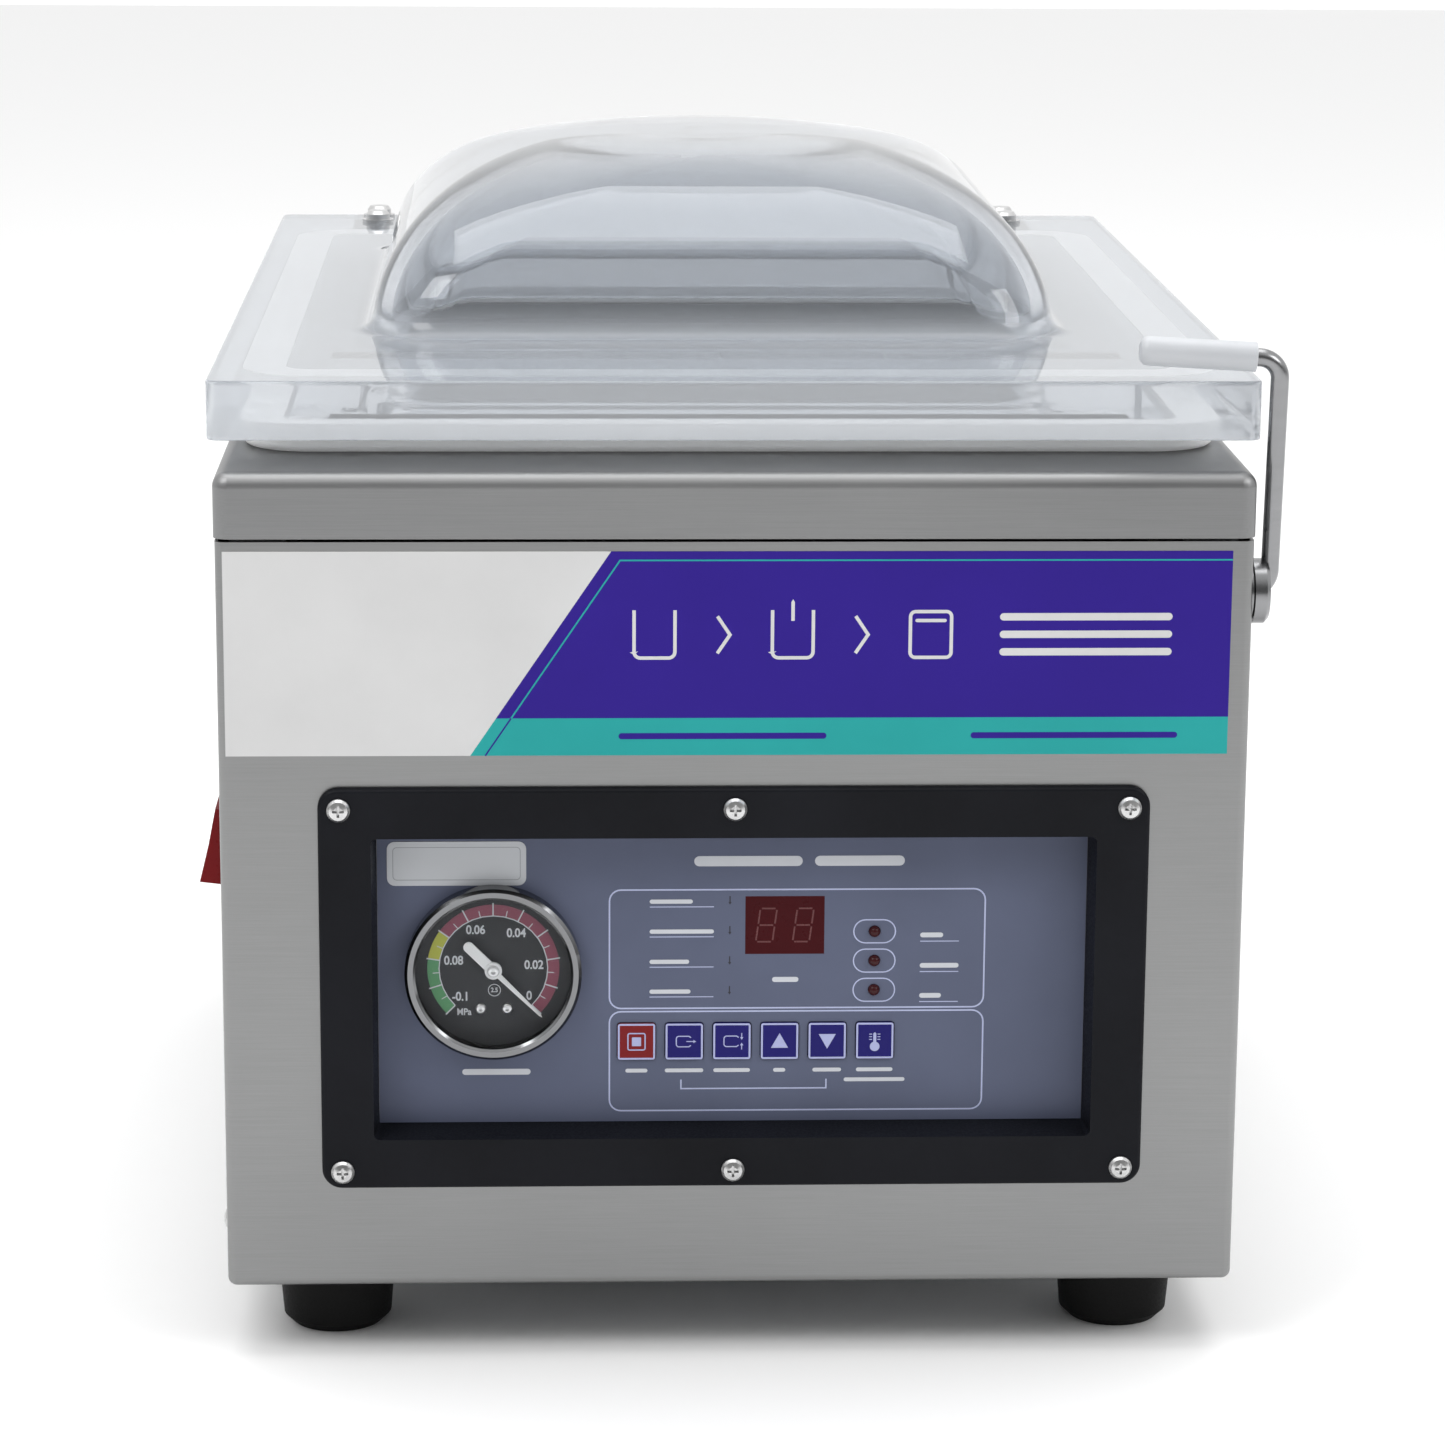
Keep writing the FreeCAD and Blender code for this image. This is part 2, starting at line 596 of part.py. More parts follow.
def seal_bar():
    """The heated bar and what rides up with it, over the cylinders that lift it."""
    middle = behind("counter_setback")
    bar = box("seal_bar_block", both("bar_half"), about(middle, "bar_width / 2"),
              ("bar_bottom", "bar_top"))
    keep(bar, "seal_bar")
    wire = box("heating_wire_strip", both("(bar_half - 2)"), about(middle, "wire_width / 2"),
               ("bar_top", "bar_top + wire_thickness"))
    keep(wire, "heating_wire")
    low, high = "(bar_top - 8)", "(bar_top + wire_thickness + tape_thickness)"
    side = "(bar_width / 2 + tape_thickness)"
    tape = cut("seal_tape_cover",
               box("seal_tape_outer", both("(bar_half - 1)"), about(middle, side), (low, high)),
               box("seal_tape_bar_space", both("bar_half"), about(middle, "bar_width / 2"),
                   ("bar_top - 9", "bar_top")),
               box("seal_tape_wire_space", both("bar_half"), about(middle, "wire_width / 2"),
                   ("bar_top - 1", "bar_top + wire_thickness")))
    keep(tape, "seal_tape")
    rods, cylinders = [], []
    for sign in ("-1", "1"):
        side = "left" if sign == "-1" else "right"
        at = f"({sign} * lift_offset)"
        rods.append(rod(f"lift_rod_{side}", "rod_radius", (at, middle, f"({TANK_FLOOR} + 2)"),
                        "up", f"bar_bottom - {TANK_FLOOR} - 2"))
        body = rod(f"lift_cylinder_{side}", "lift_radius", (at, middle, TANK_FLOOR), "up",
                   f"lift_top - {TANK_FLOOR}")
        bore = rod(f"lift_bore_{side}", "rod_radius + bore_fit",
                   (at, middle, f"({TANK_FLOOR} + 1)"), "up", f"lift_top - {TANK_FLOOR}")
        cylinders.append(cut(f"lift_cylinder_{side}_bored", body, bore))
    keep(group("lift_rods_group", *rods), "lift_rods")
    keep(group("lift_cylinders_group", *cylinders), "lift_cylinders")


# ---- feet and fasteners ---------------------------------------------------------------

def foot_places(height):
    return [(f"({sign} * foot_spacing / 2)", behind(setback), height)
            for setback in ("foot_setback", "foot_rear_setback") for sign in ("-1", "1")]


def feet():
    foot = turned("foot_source", [("foot_hole", "0"), ("foot_end_radius - 3", "0"),
                                  ("foot_end_radius", "3"), ("foot_top_radius", "foot_height"),
                                  ("bolt_radius", "foot_height"), ("bolt_radius", "10"),
                                  ("foot_hole", "10")])
    keep(copies("foot", foot, foot_places("0")), "feet")
    bolt = turned("foot_bolt_source", [("0", "5"), ("foot_hole - 0.2", "5"),
                                       ("foot_hole - 0.2", "10"), ("bolt_radius", "10"),
                                       ("bolt_radius", f"{TRAY_TOP} + 4"),
                                       ("0", f"{TRAY_TOP} + 4")])
    keep(copies("foot_bolt", bolt, foot_places("0")), "foot_bolts")


def pan_screw(name, head, shank, length):
    """A pan-head screw that points along its own minus Z, with a cross recess."""
    body = turned(name, [("0", f"-{length}"), (shank, f"-{length}"), (shank, "0"), (head, "0"),
                         (head, f"{head} * 0.25"), (f"{head} * 0.8", f"{head} * 0.5"),
                         (f"{head} * 0.4", f"{head} * 0.64"), ("0", f"{head} * 0.68")])
    long, thin = f"({head} * 0.5)", f"({head} * 0.11)"
    for across, along in ((long, thin), (thin, long)):
        pocket(body, "XY_Plane", [rectangle(both(across), both(along))],
               f"{head} * 0.15", f"{head}")
    return body


def panel_screws():
    source = pan_screw("panel_screw_source", "screw_head", "screw_shank", "4.4")
    rear = [(x, BACK, z) for x, z in rear_screw_places()]
    left = [(f"(-{SIDE})", y, z) for y, z in side_screw_places()]
    right = [(SIDE, y, z) for y, z in side_screw_places()]
    keep(group("panel_screws_group", copies("rear_screw", source, rear, "back"),
               copies("left_screw", source, left, "left"),
               copies("right_screw", source, right, "right")), "panel_screws")


# ---- lid and hinge --------------------------------------------------------------------

def dome_sections(wall, start):
    """Sections of the blown dome, outside or one wall in: full at the sides, flat on top."""
    sections = []
    for level in (0, 0.3, 0.55, 0.75, 0.9, 0.97, 0.99):
        shrink = f"(dome_half * (1 - (1 - {level}^2)^0.3) + {wall})"
        rise = f"(({start}) + (dome_height - {wall}) * {level} / 0.99)"
        sections.append((rise, about("dome_shift", f"(dome_half - {shrink})"),
                         (behind(f"(dome_front + {shrink})"), behind(f"(dome_back - {shrink})")),
                         f"min(dome_corner + dome_growth * {level}^2 - {wall} * 0.8; "
                         f"0.93 * (dome_half - {shrink}))"))
    return sections


def lid():
    body = slab("lid_body", "XY_Plane",
                [rounded(both("lid_half"), (behind("lid_front"), behind("lid_back")), "lid_corner")],
                "lid_under", LID_TOP)
    loft(body, "AdditiveLoft", dome_sections("0", LID_TOP))
    inner = dome_sections("dome_wall", LID_TOP)
    pocket(body, "XY_Plane", [rounded(*inner[0][1:])], "lid_under - 1", LID_TOP)
    loft(body, "SubtractiveLoft", inner)
    pocket(body, "XY_Plane", gasket_outline(), "lid_under - 1", "lid_under + gasket_seat")
    holes = [circle(x, y, "screw_shank + 0.3") for x, y, z in lid_screw_places()]
    pocket(body, "XY_Plane", holes, "lid_under - 1", f"({LID_TOP} + 1)")
    keep(body, "lid")


def lid_screw_places():
    return [(f"({sign} * hinge_offset)", behind(setback), LID_TOP)
            for sign in ("-1", "1") for setback in ("screw_first", "screw_second")]


def counter_bar():
    middle = behind("counter_setback")
    low = "(lid_under - counter_gauge)"
    channel = box("counter_bar_block", both("counter_half"), about(middle, "counter_width / 2"),
                  (low, "lid_under"))
    keep(channel, "counter_bar")
    strip = box("counter_strip_block", both("counter_half - 1"), about(middle, "strip_width / 2"),
                (f"({low} - strip_thickness)", low))
    keep(strip, "counter_strip")


def lid_screws():
    head, shank, end = "(screw_head + 1)", "(screw_shank + 0.3)", "-lid_thickness - leaf_gauge"
    source = turned("lid_screw_source", [
        ("0", end), (shank, end), (shank, "0"), ("lid_washer", "0"),
        ("lid_washer", "washer_gauge"), (head, "washer_gauge"), (head, "lid_nut_side"),
        (f"({head} - 1)", "lid_nut_height - 0.4"), ("0", "lid_nut_height")])
    keep(copies("lid_screw", source, lid_screw_places()), "lid_screws")


def hinge_arms():
    """A leaf under the lid and a blade down to the shaft, once on each side."""
    arms = []
    for side, sign in (("left", "-1"), ("right", "1")):
        middle = f"({sign} * hinge_offset)"
        leaf = box(f"hinge_leaf_{side}", about(middle, "leaf_width / 2"),
                   (behind("(screw_first - 9)"), behind("(lid_back - 1)")),
                   ("lid_under - leaf_gauge", "lid_under"))
        span = about(middle, "blade_gauge / 2")
        blade = box(f"hinge_blade_{side}", span, (behind("(hinge_setback - 10)"),
                                                  behind("(hinge_setback + 6)")),
                    ("hinge_height", "lid_under - leaf_gauge"))
        hub = rod(f"hinge_hub_{side}", "hub_radius", (span[0], *hinge_axis()), "right",
                  "blade_gauge")
        bore = rod(f"hinge_bore_{side}", "shaft_radius", (span[0], *hinge_axis()), "right",
                   "blade_gauge")
        taps = [rod(f"hinge_tap_{side}_{step}", "screw_shank + 0.3",
                    (x, y, "lid_under - leaf_gauge - 1"), "up", "9")
                for step, (x, y, z) in enumerate(lid_screw_places()) if x.startswith(f"({sign} ")]
        arms.append(cut(f"hinge_arm_{side}", fuse(f"hinge_arm_{side}_blank", leaf, blade, hub),
                        bore, *taps))
    keep(group("hinge_arms_group", *arms), "hinge_arms")


def hinge_axis():
    return behind("hinge_setback"), "hinge_height"


def hinge_shaft():
    shaft = rod("hinge_shaft_bar", "shaft_radius", ("-shaft_half", *hinge_axis()), "right",
                "shaft_half * 2")
    keep(shaft, "hinge_shaft")


def spring_levers():
    """Arms at the ends of the shaft, which the lid springs pull forward."""
    levers = []
    for side, sign in (("left", "-1"), ("right", "1")):
        turn = "left" if sign == "-1" else "right"
        start = f"({sign} * lever_inside)"
        span = sorted((start, f"({sign} * (lever_inside + lever_gauge))"), key=number)
        low = "(hinge_height - lever_length)"
        hub = rod(f"lever_hub_{side}", "hub_radius", (start, *hinge_axis()), turn, "lever_gauge")
        tail = rod(f"lever_tail_{side}", "5", (start, behind("hinge_setback"), low), turn,
                   "lever_gauge")
        pin = rod(f"lever_pin_{side}", "lever_pin", (start, behind("hinge_setback"), low), turn,
                  "shaft_half - lever_inside")
        web = box(f"lever_web_{side}", span, about(behind("hinge_setback"), "5"),
                  (low, "hinge_height"))
        bore = rod(f"lever_bore_{side}", "shaft_radius", (start, *hinge_axis()), turn,
                   "lever_gauge")
        levers.append(cut(f"spring_lever_{side}",
                          fuse(f"spring_lever_{side}_blank", hub, web, tail, pin), bore))
    keep(group("spring_levers_group", *levers), "spring_levers")


def hinge_brackets():
    """Bearing plates for the shaft, and the plates that hold the springs' front ends."""
    plates = []
    for side, sign in (("left", "-1"), ("right", "1")):
        turn = "left" if sign == "-1" else "right"
        start = f"({sign} * bracket_inside)"
        span = sorted((start, f"({sign} * (bracket_inside + bracket_gauge))"), key=number)
        plate = box(f"bearing_plate_{side}", span,
                    (behind("(hinge_setback - 8.5)"),
                     f"({BACK} - bend_radius - tray_gauge - post_gauge)"),
                    ("hinge_height - 20", DECK_UNDER))
        bore = rod(f"bearing_bore_{side}", "shaft_radius + bore_fit", (start, *hinge_axis()),
                   turn, "bracket_gauge")
        plates.append(cut(f"hinge_bracket_{side}", plate, bore))
        wall = f"({sign} * (chamber_width / 2 + tank_gauge))"
        anchor = sorted((wall, f"({sign} * (chamber_width / 2 + tank_gauge + 2))"), key=number)
        low = "(hinge_height - lever_length)"
        plates.append(fuse(
            f"spring_anchor_{side}",
            box(f"anchor_plate_{side}", anchor, about(behind("anchor_setback"), "7"),
                (f"({low} - 7)", f"({low} + 26)")),
            rod(f"anchor_pin_{side}", "lever_pin", (wall, behind("anchor_setback"), low), turn,
                "shaft_half - chamber_width / 2 - tank_gauge")))
    keep(group("hinge_brackets_group", *plates), "hinge_brackets")


def lid_springs():
    """Tension springs, each as the sleeve that its coils fill with an eye at both ends."""
    springs = []
    height = "(hinge_height - lever_length)"
    eye = "(lever_pin + 0.2)"
    for side, sign in (("left", "-1"), ("right", "1")):
        middle = f"({sign} * spring_middle)"
        coil = tube(f"lid_spring_{side}", "spring_radius", "spring_radius - spring_wire",
                    (middle, behind("(anchor_setback + 12)"), height), "back",
                    "hinge_setback - anchor_setback - 24")
        parts = [coil]
        for end, setback, reach in (("front", "anchor_setback", "(anchor_setback + 2)"),
                                    ("rear", "hinge_setback", "(hinge_setback - 13)")):
            ring = tube(f"lid_spring_eye_{end}_{side}", f"{eye} + spring_wire", eye,
                        (f"({middle} - spring_wire / 2)", behind(setback), height), "right",
                        "spring_wire")
            stem = box(f"lid_spring_stem_{end}_{side}", about(middle, "spring_wire / 2"),
                       (behind(f"({reach} + 1)"), behind(f"({reach} + 10.5)")),
                       about(height, "spring_wire / 2"))
            trimmed = cut(f"lid_spring_stem_cut_{end}_{side}", stem,
                          rod(f"lid_spring_eye_space_{end}_{side}", eye,
                              (f"({middle} - 5)", behind(setback), height), "right", "10"))
            web = rod(f"lid_spring_cap_{end}_{side}", "spring_radius",
                      (middle, behind("(anchor_setback + 12)" if end == "front"
                                      else "(hinge_setback - 13)"), height), "back", "1")
            parts += [ring, trimmed, web]
        springs.append(fuse(f"lid_spring_{side}_whole", *parts))
    keep(group("lid_springs_group", *springs), "lid_springs")


# ---- control unit ---------------------------------------------------------------------

def control_bezel():
    """The moulded frame: a flange proud of the front, and walls back to the sunk plate."""
    front = f"({FRONT} - bezel_proud)"
    face = number(front)
    outer = rounded(both("bezel_half"), ("bezel_low", "bezel_high"), "bezel_corner")
    wall = rounded(both("(lip_half + bezel_wall - 0.3)"),
                   ("lip_low - bezel_wall + 0.3", "lip_high + bezel_wall - 0.3"), "lip_corner + 1")
    lip = rounded(both("lip_half"), ("lip_low", "lip_high"), "lip_corner")
    body = slab("control_bezel_body", "XZ_Plane", [outer], front, FRONT)
    pad(body, "XZ_Plane", [wall], FRONT, behind("plate_setback"))
    round_edges(body, "1.2", lambda b: flat(b.YMin, b.YMax, face))
    pocket(body, "XZ_Plane", [lip], front, behind("plate_setback"), "wall_draft")
    holes = [circle(x, z, "screw_shank") for x, z in bezel_screw_places()]
    pocket(body, "XZ_Plane", holes, f"({front} - 1)", f"({FRONT} + 1)")
    keep(body, "control_bezel")
    source = pan_screw("bezel_screw_source", "screw_head", "screw_shank", "8")
    places = [(x, front, z) for x, z in bezel_screw_places()]
    keep(copies("bezel_screw", source, places, "front"), "bezel_screws")


def key_places():
    return [f"(key_first + key_pitch * {step})" for step in range(6)]


def lamp_places():
    return [("lamp_offset", f"(lamp_first + lamp_pitch * {step})") for step in range(3)]


def key_window(middle, margin):
    reach = f"(key_size / 2 + {margin})"
    return rounded(about(middle, reach), about("key_height", reach), f"key_corner + {margin}")


def window_outline():
    return ("window_left", "window_right"), ("window_low", "window_high")


def control_plate():
    back = behind("(plate_setback + plate_gauge)")
    keys = [key_window(x, "key_gap") for x in key_places()]
    lamps = [circle(x, z, "lamp_radius + 0.1") for x, z in lamp_places()]
    gauge_hole = circle("gauge_offset", "gauge_height", "gauge_body + 0.3")
    body = slab("control_plate_body", "XZ_Plane",
                [rectangle(both("plate_half"), ("plate_low", "plate_high")), gauge_hole,
                 rectangle(*window_outline())] + keys + lamps,
                behind("plate_setback"), back)
    keep(body, "control_plate")
    edge = "(lip_half - overlay_gap)"
    sheet_body = slab("control_overlay_body", "XZ_Plane",
                      [rectangle(both(edge), ("lip_low + overlay_gap", "lip_high - overlay_gap")),
                       gauge_hole, rectangle(*window_outline())] + keys + lamps,
                      behind("(plate_setback - overlay_gauge)"), behind("plate_setback"))
    keep(sheet_body, "control_overlay")
    window = box("display_window_pane", ("window_left", "window_right"),
                 (behind("(plate_setback - overlay_gauge)"), back), ("window_low", "window_high"))
    keep(window, "display_window")


def status_lamps():
    lamps = []
    for step, (x, z) in enumerate(lamp_places()):
        stem = rod(f"lamp_stem_{step}", "lamp_radius", (x, behind("board_setback"), z), "front",
                   "board_setback - plate_setback + overlay_gauge")
        dome = document.addObject("Part::Sphere", f"lamp_dome_{step}")
        bind(dome, "Radius", "lamp_radius")
        place(dome, (x, behind("(plate_setback - overlay_gauge)"), z))
        lamps.append(fuse(f"lamp_{step}", stem, dome))
    keep(group("status_lamps_group", *lamps), "status_lamps")


def panel_keys():
    """Six short keys: a cap through the plate, a flange behind it and a stem to its switch."""
    cap_front = behind("(plate_setback - overlay_gauge - key_proud)")
    flange_front = behind("(plate_setback + plate_gauge + 0.4)")
    flange_back = behind("(plate_setback + plate_gauge + 1.4)")
    face = number(cap_front)
    for step, middle in enumerate(key_places(), 1):
        body = slab(f"panel_key_{step}_body", "XZ_Plane", [key_window(middle, "0")], cap_front,
                    flange_front)
        round_edges(body, "0.3", lambda b: flat(b.YMin, b.YMax, face))
        pad(body, "XZ_Plane", [rectangle(about(middle, "key_flange / 2"),
                                         about("key_height", "key_flange / 2"))],
            flange_front, flange_back)
        pad(body, "XZ_Plane", [circle(middle, "key_height", "1.5")], flange_back,
            behind("(board_setback - 3.6)"))
        keep(body, f"panel_key_{step}")


def control_board():
    """The circuit board, its four spacers, key switches, display block and relay."""
    front, back = behind("board_setback"), behind("(board_setback + board_gauge)")
    parts = [box("board_sheet", ("board_left", "board_right"), (front, back),
                 ("board_low", "board_high"))]
    for x in ("board_left + spacer_inset", "board_right - spacer_inset"):
        for z in ("board_low + spacer_inset", "board_high - spacer_inset"):
            parts.append(rod(f"spacer_{len(parts)}", "2.5", (x, front, z), "front",
                             "board_setback - plate_setback - plate_gauge"))
    for step, middle in enumerate(key_places()):
        parts.append(box(f"key_switch_{step}", about(middle, "3"),
                         (behind("(board_setback - 2)"), front), about("key_height", "3")))
        parts.append(rod(f"key_switch_button_{step}", "1.6",
                         (middle, behind("(board_setback - 2)"), "key_height"), "front", "0.9"))
    parts.append(box("display_block", about("(window_left + window_right) / 2", "12"),
                     (behind("(plate_setback + plate_gauge)"), front),
                     about("(window_low + window_high) / 2", "9")))
    parts.append(box("relay_block", ("50", "78"), (back, f"({back} + 16)"), ("125", "140")))
    parts.append(box("board_plug", ("-30", "10"), (back, f"({back} + 9)"), ("148", "156")))
    keep(group("control_board_group", *parts), "control_board")


# ---- vacuum gauge ---------------------------------------------------------------------

def gauge():
    """Turned parts on the gauge's own axis, which points out of the front."""
    at = ("gauge_offset", behind("plate_setback"), "gauge_height")
    seat = "overlay_gauge"
    lip = "(plate_setback - gauge_front)"
    rim = f"({lip} - 1.6)"
    ring = turned("gauge_ring_body", [
        ("gauge_body", seat), ("gauge_ring", seat), ("gauge_ring", f"{lip} - 1"),
        ("gauge_ring - 1", lip), ("gauge_lip + 0.8", lip), ("gauge_lip", f"{lip} - 0.8"),
        ("gauge_lip", rim), ("gauge_body", rim)], at, "front")
    keep(ring, "gauge_ring")
    glass = turned("gauge_glass_body", [("0", f"{rim} - 2"), ("gauge_body", f"{rim} - 2"),
                                        ("gauge_body", rim), ("0", rim)], at, "front")
    keep(glass, "gauge_glass")
    inside = "(gauge_body - gauge_wall)"
    case = turned("gauge_case_body", [
        ("0", "-30"), ("5", "-30"), ("5", "-18"), ("gauge_body", "-18"),
        ("gauge_body", f"{rim} - 2"), (inside, f"{rim} - 2"), (inside, "-17"), ("0", "-17")],
        at, "front")
    keep(case, "gauge_case")
    dial_front = "(plate_setback - gauge_dial_setback)"
    dial = turned("gauge_dial_body", [
        ("arbor_radius + 0.3", f"{dial_front} - 0.8"), (inside, f"{dial_front} - 0.8"),
        (inside, dial_front), ("arbor_radius + 0.3", dial_front)], at, "front")
    keep(dial, "gauge_dial")
    gauge_needle()


def gauge_needle():
    """The needle in its rest place at the scale's lower right end."""
    body = slab("gauge_needle_body", "XY_Plane", [polygon([
        ("-needle_tail", "-tail_half"), ("0", "-tail_half"), ("0", "-needle_root"),
        ("needle_length - 1", "-needle_tip"), ("needle_length", "0"),
        ("needle_length - 1", "needle_tip"), ("0", "needle_root"), ("0", "tail_half"),
        ("-needle_tail", "tail_half")])], "0", "needle_gauge")
    pad(body, "XY_Plane", [circle("-needle_tail", "0", "tail_half")], "0", "needle_gauge")
    pad(body, "XY_Plane", [circle("0", "0", "hub_size")], "-0.2", "needle_gauge + 0.5")
    pad(body, "XY_Plane", [circle("0", "0", "arbor_radius")], "-8", "0")
    place(body, ("gauge_offset", behind("needle_setback"), "gauge_height"),
          TURNS["front"] * FreeCAD.Rotation(V(0, 0, 1), -45))
    keep(body, "gauge_needle")


# ---- lid latch ------------------------------------------------------------------------

def latch_bush():
    """The fixed bush: a thin washer face outside and a shank through the cabinet wall."""
    at = (SIDE, behind("latch_setback"), "latch_height")
    bore, shank = "(latch_wire + bore_fit)", "(latch_shank - 0.2)"
    bush = turned("latch_bush_body", [
        (bore, "-9"), (shank, "-9"), (shank, "0"), ("latch_boss - 1.5", "0"),
        ("latch_boss - 1.5", "latch_washer"), ("(latch_wire + 0.4)", "latch_washer"),
        ("(latch_wire + 0.4)", "0"), (bore, "-0.3")], at, "right")
    keep(bush, "latch_bush")


def wire_path(reach):
    """The bent rod's centre line, with the pivot at the origin: in, up, and back across."""
    tilt = math.radians(number("grip_tilt"))
    bend, rise = number("latch_bend"), number("latch_rise")
    inner, leg = number("latch_inside") - number(SIDE), number("latch_reach") - number(SIDE)
    across = leg - number(f"{reach} - {SIDE}")
    corner = V(leg, 0, rise)
    return rounded_route([V(inner, 0, 0), V(leg, 0, 0), corner,
                          corner + V(-across, 0, across * math.tan(tilt))], bend)


def rounded_route(points, bend):
    """Straight runs joined by tangent arcs of one radius."""
    edges = []
    start = points[0]
    for before, corner, after in zip(points, points[1:], points[2:]):
        back = (before - corner).normalize()
        ahead = (after - corner).normalize()
        half = back.getAngle(ahead) / 2
        reach = bend / math.tan(half)
        middle = corner + (back + ahead).normalize() * (bend / math.sin(half) - bend)
        edges.append(Part.LineSegment(start, corner + back * reach).toShape())
        edges.append(Part.Arc(corner + back * reach, middle, corner + ahead * reach).toShape())
        start = corner + ahead * reach
    edges.append(Part.LineSegment(start, points[-1]).toShape())
    return Part.Wire(edges)


def swept(name, route, radius, at=None, turn=None):
    """A round section swept along a route; its size comes from the sheet."""
    start = route.Edges[0].valueAt(route.Edges[0].FirstParameter)
    ahead = route.Edges[0].tangentAt(route.Edges[0].FirstParameter)
    section = Part.Wire(Part.makeCircle(number(radius), start, ahead))
    shape = route.makePipeShell([section], True, False)
    item = document.addObject("Part::Feature", name)
    item.Shape = shape
    if at:
        item.Placement = FreeCAD.Placement(V(*(number(part) for part in at)), turn)
    return item


def latch_lever():
    lean = FreeCAD.Rotation(V(1, 0, 0), number("latch_lean"))
    at = (SIDE, behind("latch_setback"), "latch_height")
    wire = swept("latch_rod_sweep", wire_path("grip_end + 1"), "latch_wire", at, lean)
    start, end = "(latch_washer + 0.3)", "(latch_reach - cabinet_width / 2 - 0.7)"
    boss = turned("latch_boss_body", [
        ("0", start), ("latch_boss", start), ("latch_boss", f"{end} - 1.2"),
        ("latch_boss - 1.2", end), ("0", end)], at, "right")
    keep(fuse("latch_rod_whole", wire, boss), "latch_rod")
    route = wire_path("grip_end")
    last = route.Edges[-1]
    ahead = last.tangentAt(last.FirstParameter)
    end = last.valueAt(last.LastParameter)
    length = (number("grip_start") - number("grip_end")) / math.cos(math.radians(number("grip_tilt")))
    sleeve = Part.makeCylinder(number("grip_radius"), length, end - ahead * length, ahead)
    rims = sleeve.Edges
    tip = [edge for edge in rims if edge.BoundBox.Center.distanceToPoint(end) < 0.1]
    sleeve = sleeve.makeFillet(number("grip_radius") * 0.6, tip)
    bored = sleeve.cut(Part.makeCylinder(number("latch_wire"), length - 1, end - ahead * length,
                                         ahead))
    grip = document.addObject("Part::Feature", "latch_grip_sleeve")
    grip.Shape = bored
    grip.Placement = FreeCAD.Placement(V(*(number(part) for part in at)), lean)
    keep(grip, "latch_grip")


# ---- power switch ---------------------------------------------------------------------

def power_switch():
    side = f"(-{SIDE})"
    place_y, place_z = behind("rocker_setback"), "rocker_height"
    flange = box("switch_flange", (f"({side} - flange_proud)", side),
                 about(place_y, "flange_width / 2"), about(place_z, "flange_half"))
    shell = box("switch_shell", (side, f"({side} + switch_body_depth)"),
                about(place_y, "(flange_width / 2 - 1.3)"), about(place_z, "(flange_half - 1.3)"))
    hollow = box("switch_hollow", (f"({side} - flange_proud - 1)", f"({side} + 9)"),
                 about(place_y, "(rocker_width / 2 + 0.4)"), about(place_z, "(flange_half - 1.7)"))
    tabs = [box(f"switch_tab_{step}", (f"({side} + switch_body_depth)",
                                       f"({side} + switch_body_depth + 8)"),
                about(place_y, "3"), about(f"({place_z} + {shift})", "0.4"))
            for step, shift in enumerate(("-9", "0", "9"))]
    pivot = f"({side} + rocker_pivot)"
    pin_reach = "(rocker_width / 2 + 1.2)"
    pin_hole = rod("switch_pin_hole", "(rocker_pin + bore_fit)",
                   (pivot, f"({place_y} - flange_width / 2)", place_z), "back", "flange_width")
    whole = cut("switch_housing_cut", fuse("switch_housing_blank", flange, shell, *tabs), hollow,
                pin_hole)
    keep(whole, "switch_housing")
    rocker = slab("power_rocker_body", "XZ_Plane", [polygon([
        ("-rocker_proud - rocker_pivot", "-rocker_half"), ("-rocker_proud - rocker_pivot + 0.3", "0"),
        ("-rocker_proud - rocker_pivot", "rocker_half"), ("0", "rocker_half - 1"),
        ("3", "5"), ("3", "-5"), ("0", "1 - rocker_half")])],
        "-rocker_width / 2", "rocker_width / 2")
    place(rocker, (pivot, place_y, place_z), FreeCAD.Rotation(V(0, 1, 0), number("rocker_angle")))
    pin = rod("rocker_pin", "rocker_pin", (pivot, f"({place_y} - {pin_reach})", place_z), "back",
              f"2 * {pin_reach}")
    keep(fuse("power_rocker_whole", rocker, pin), "power_rocker")


# ---- vacuum pump ----------------------------------------------------------------------

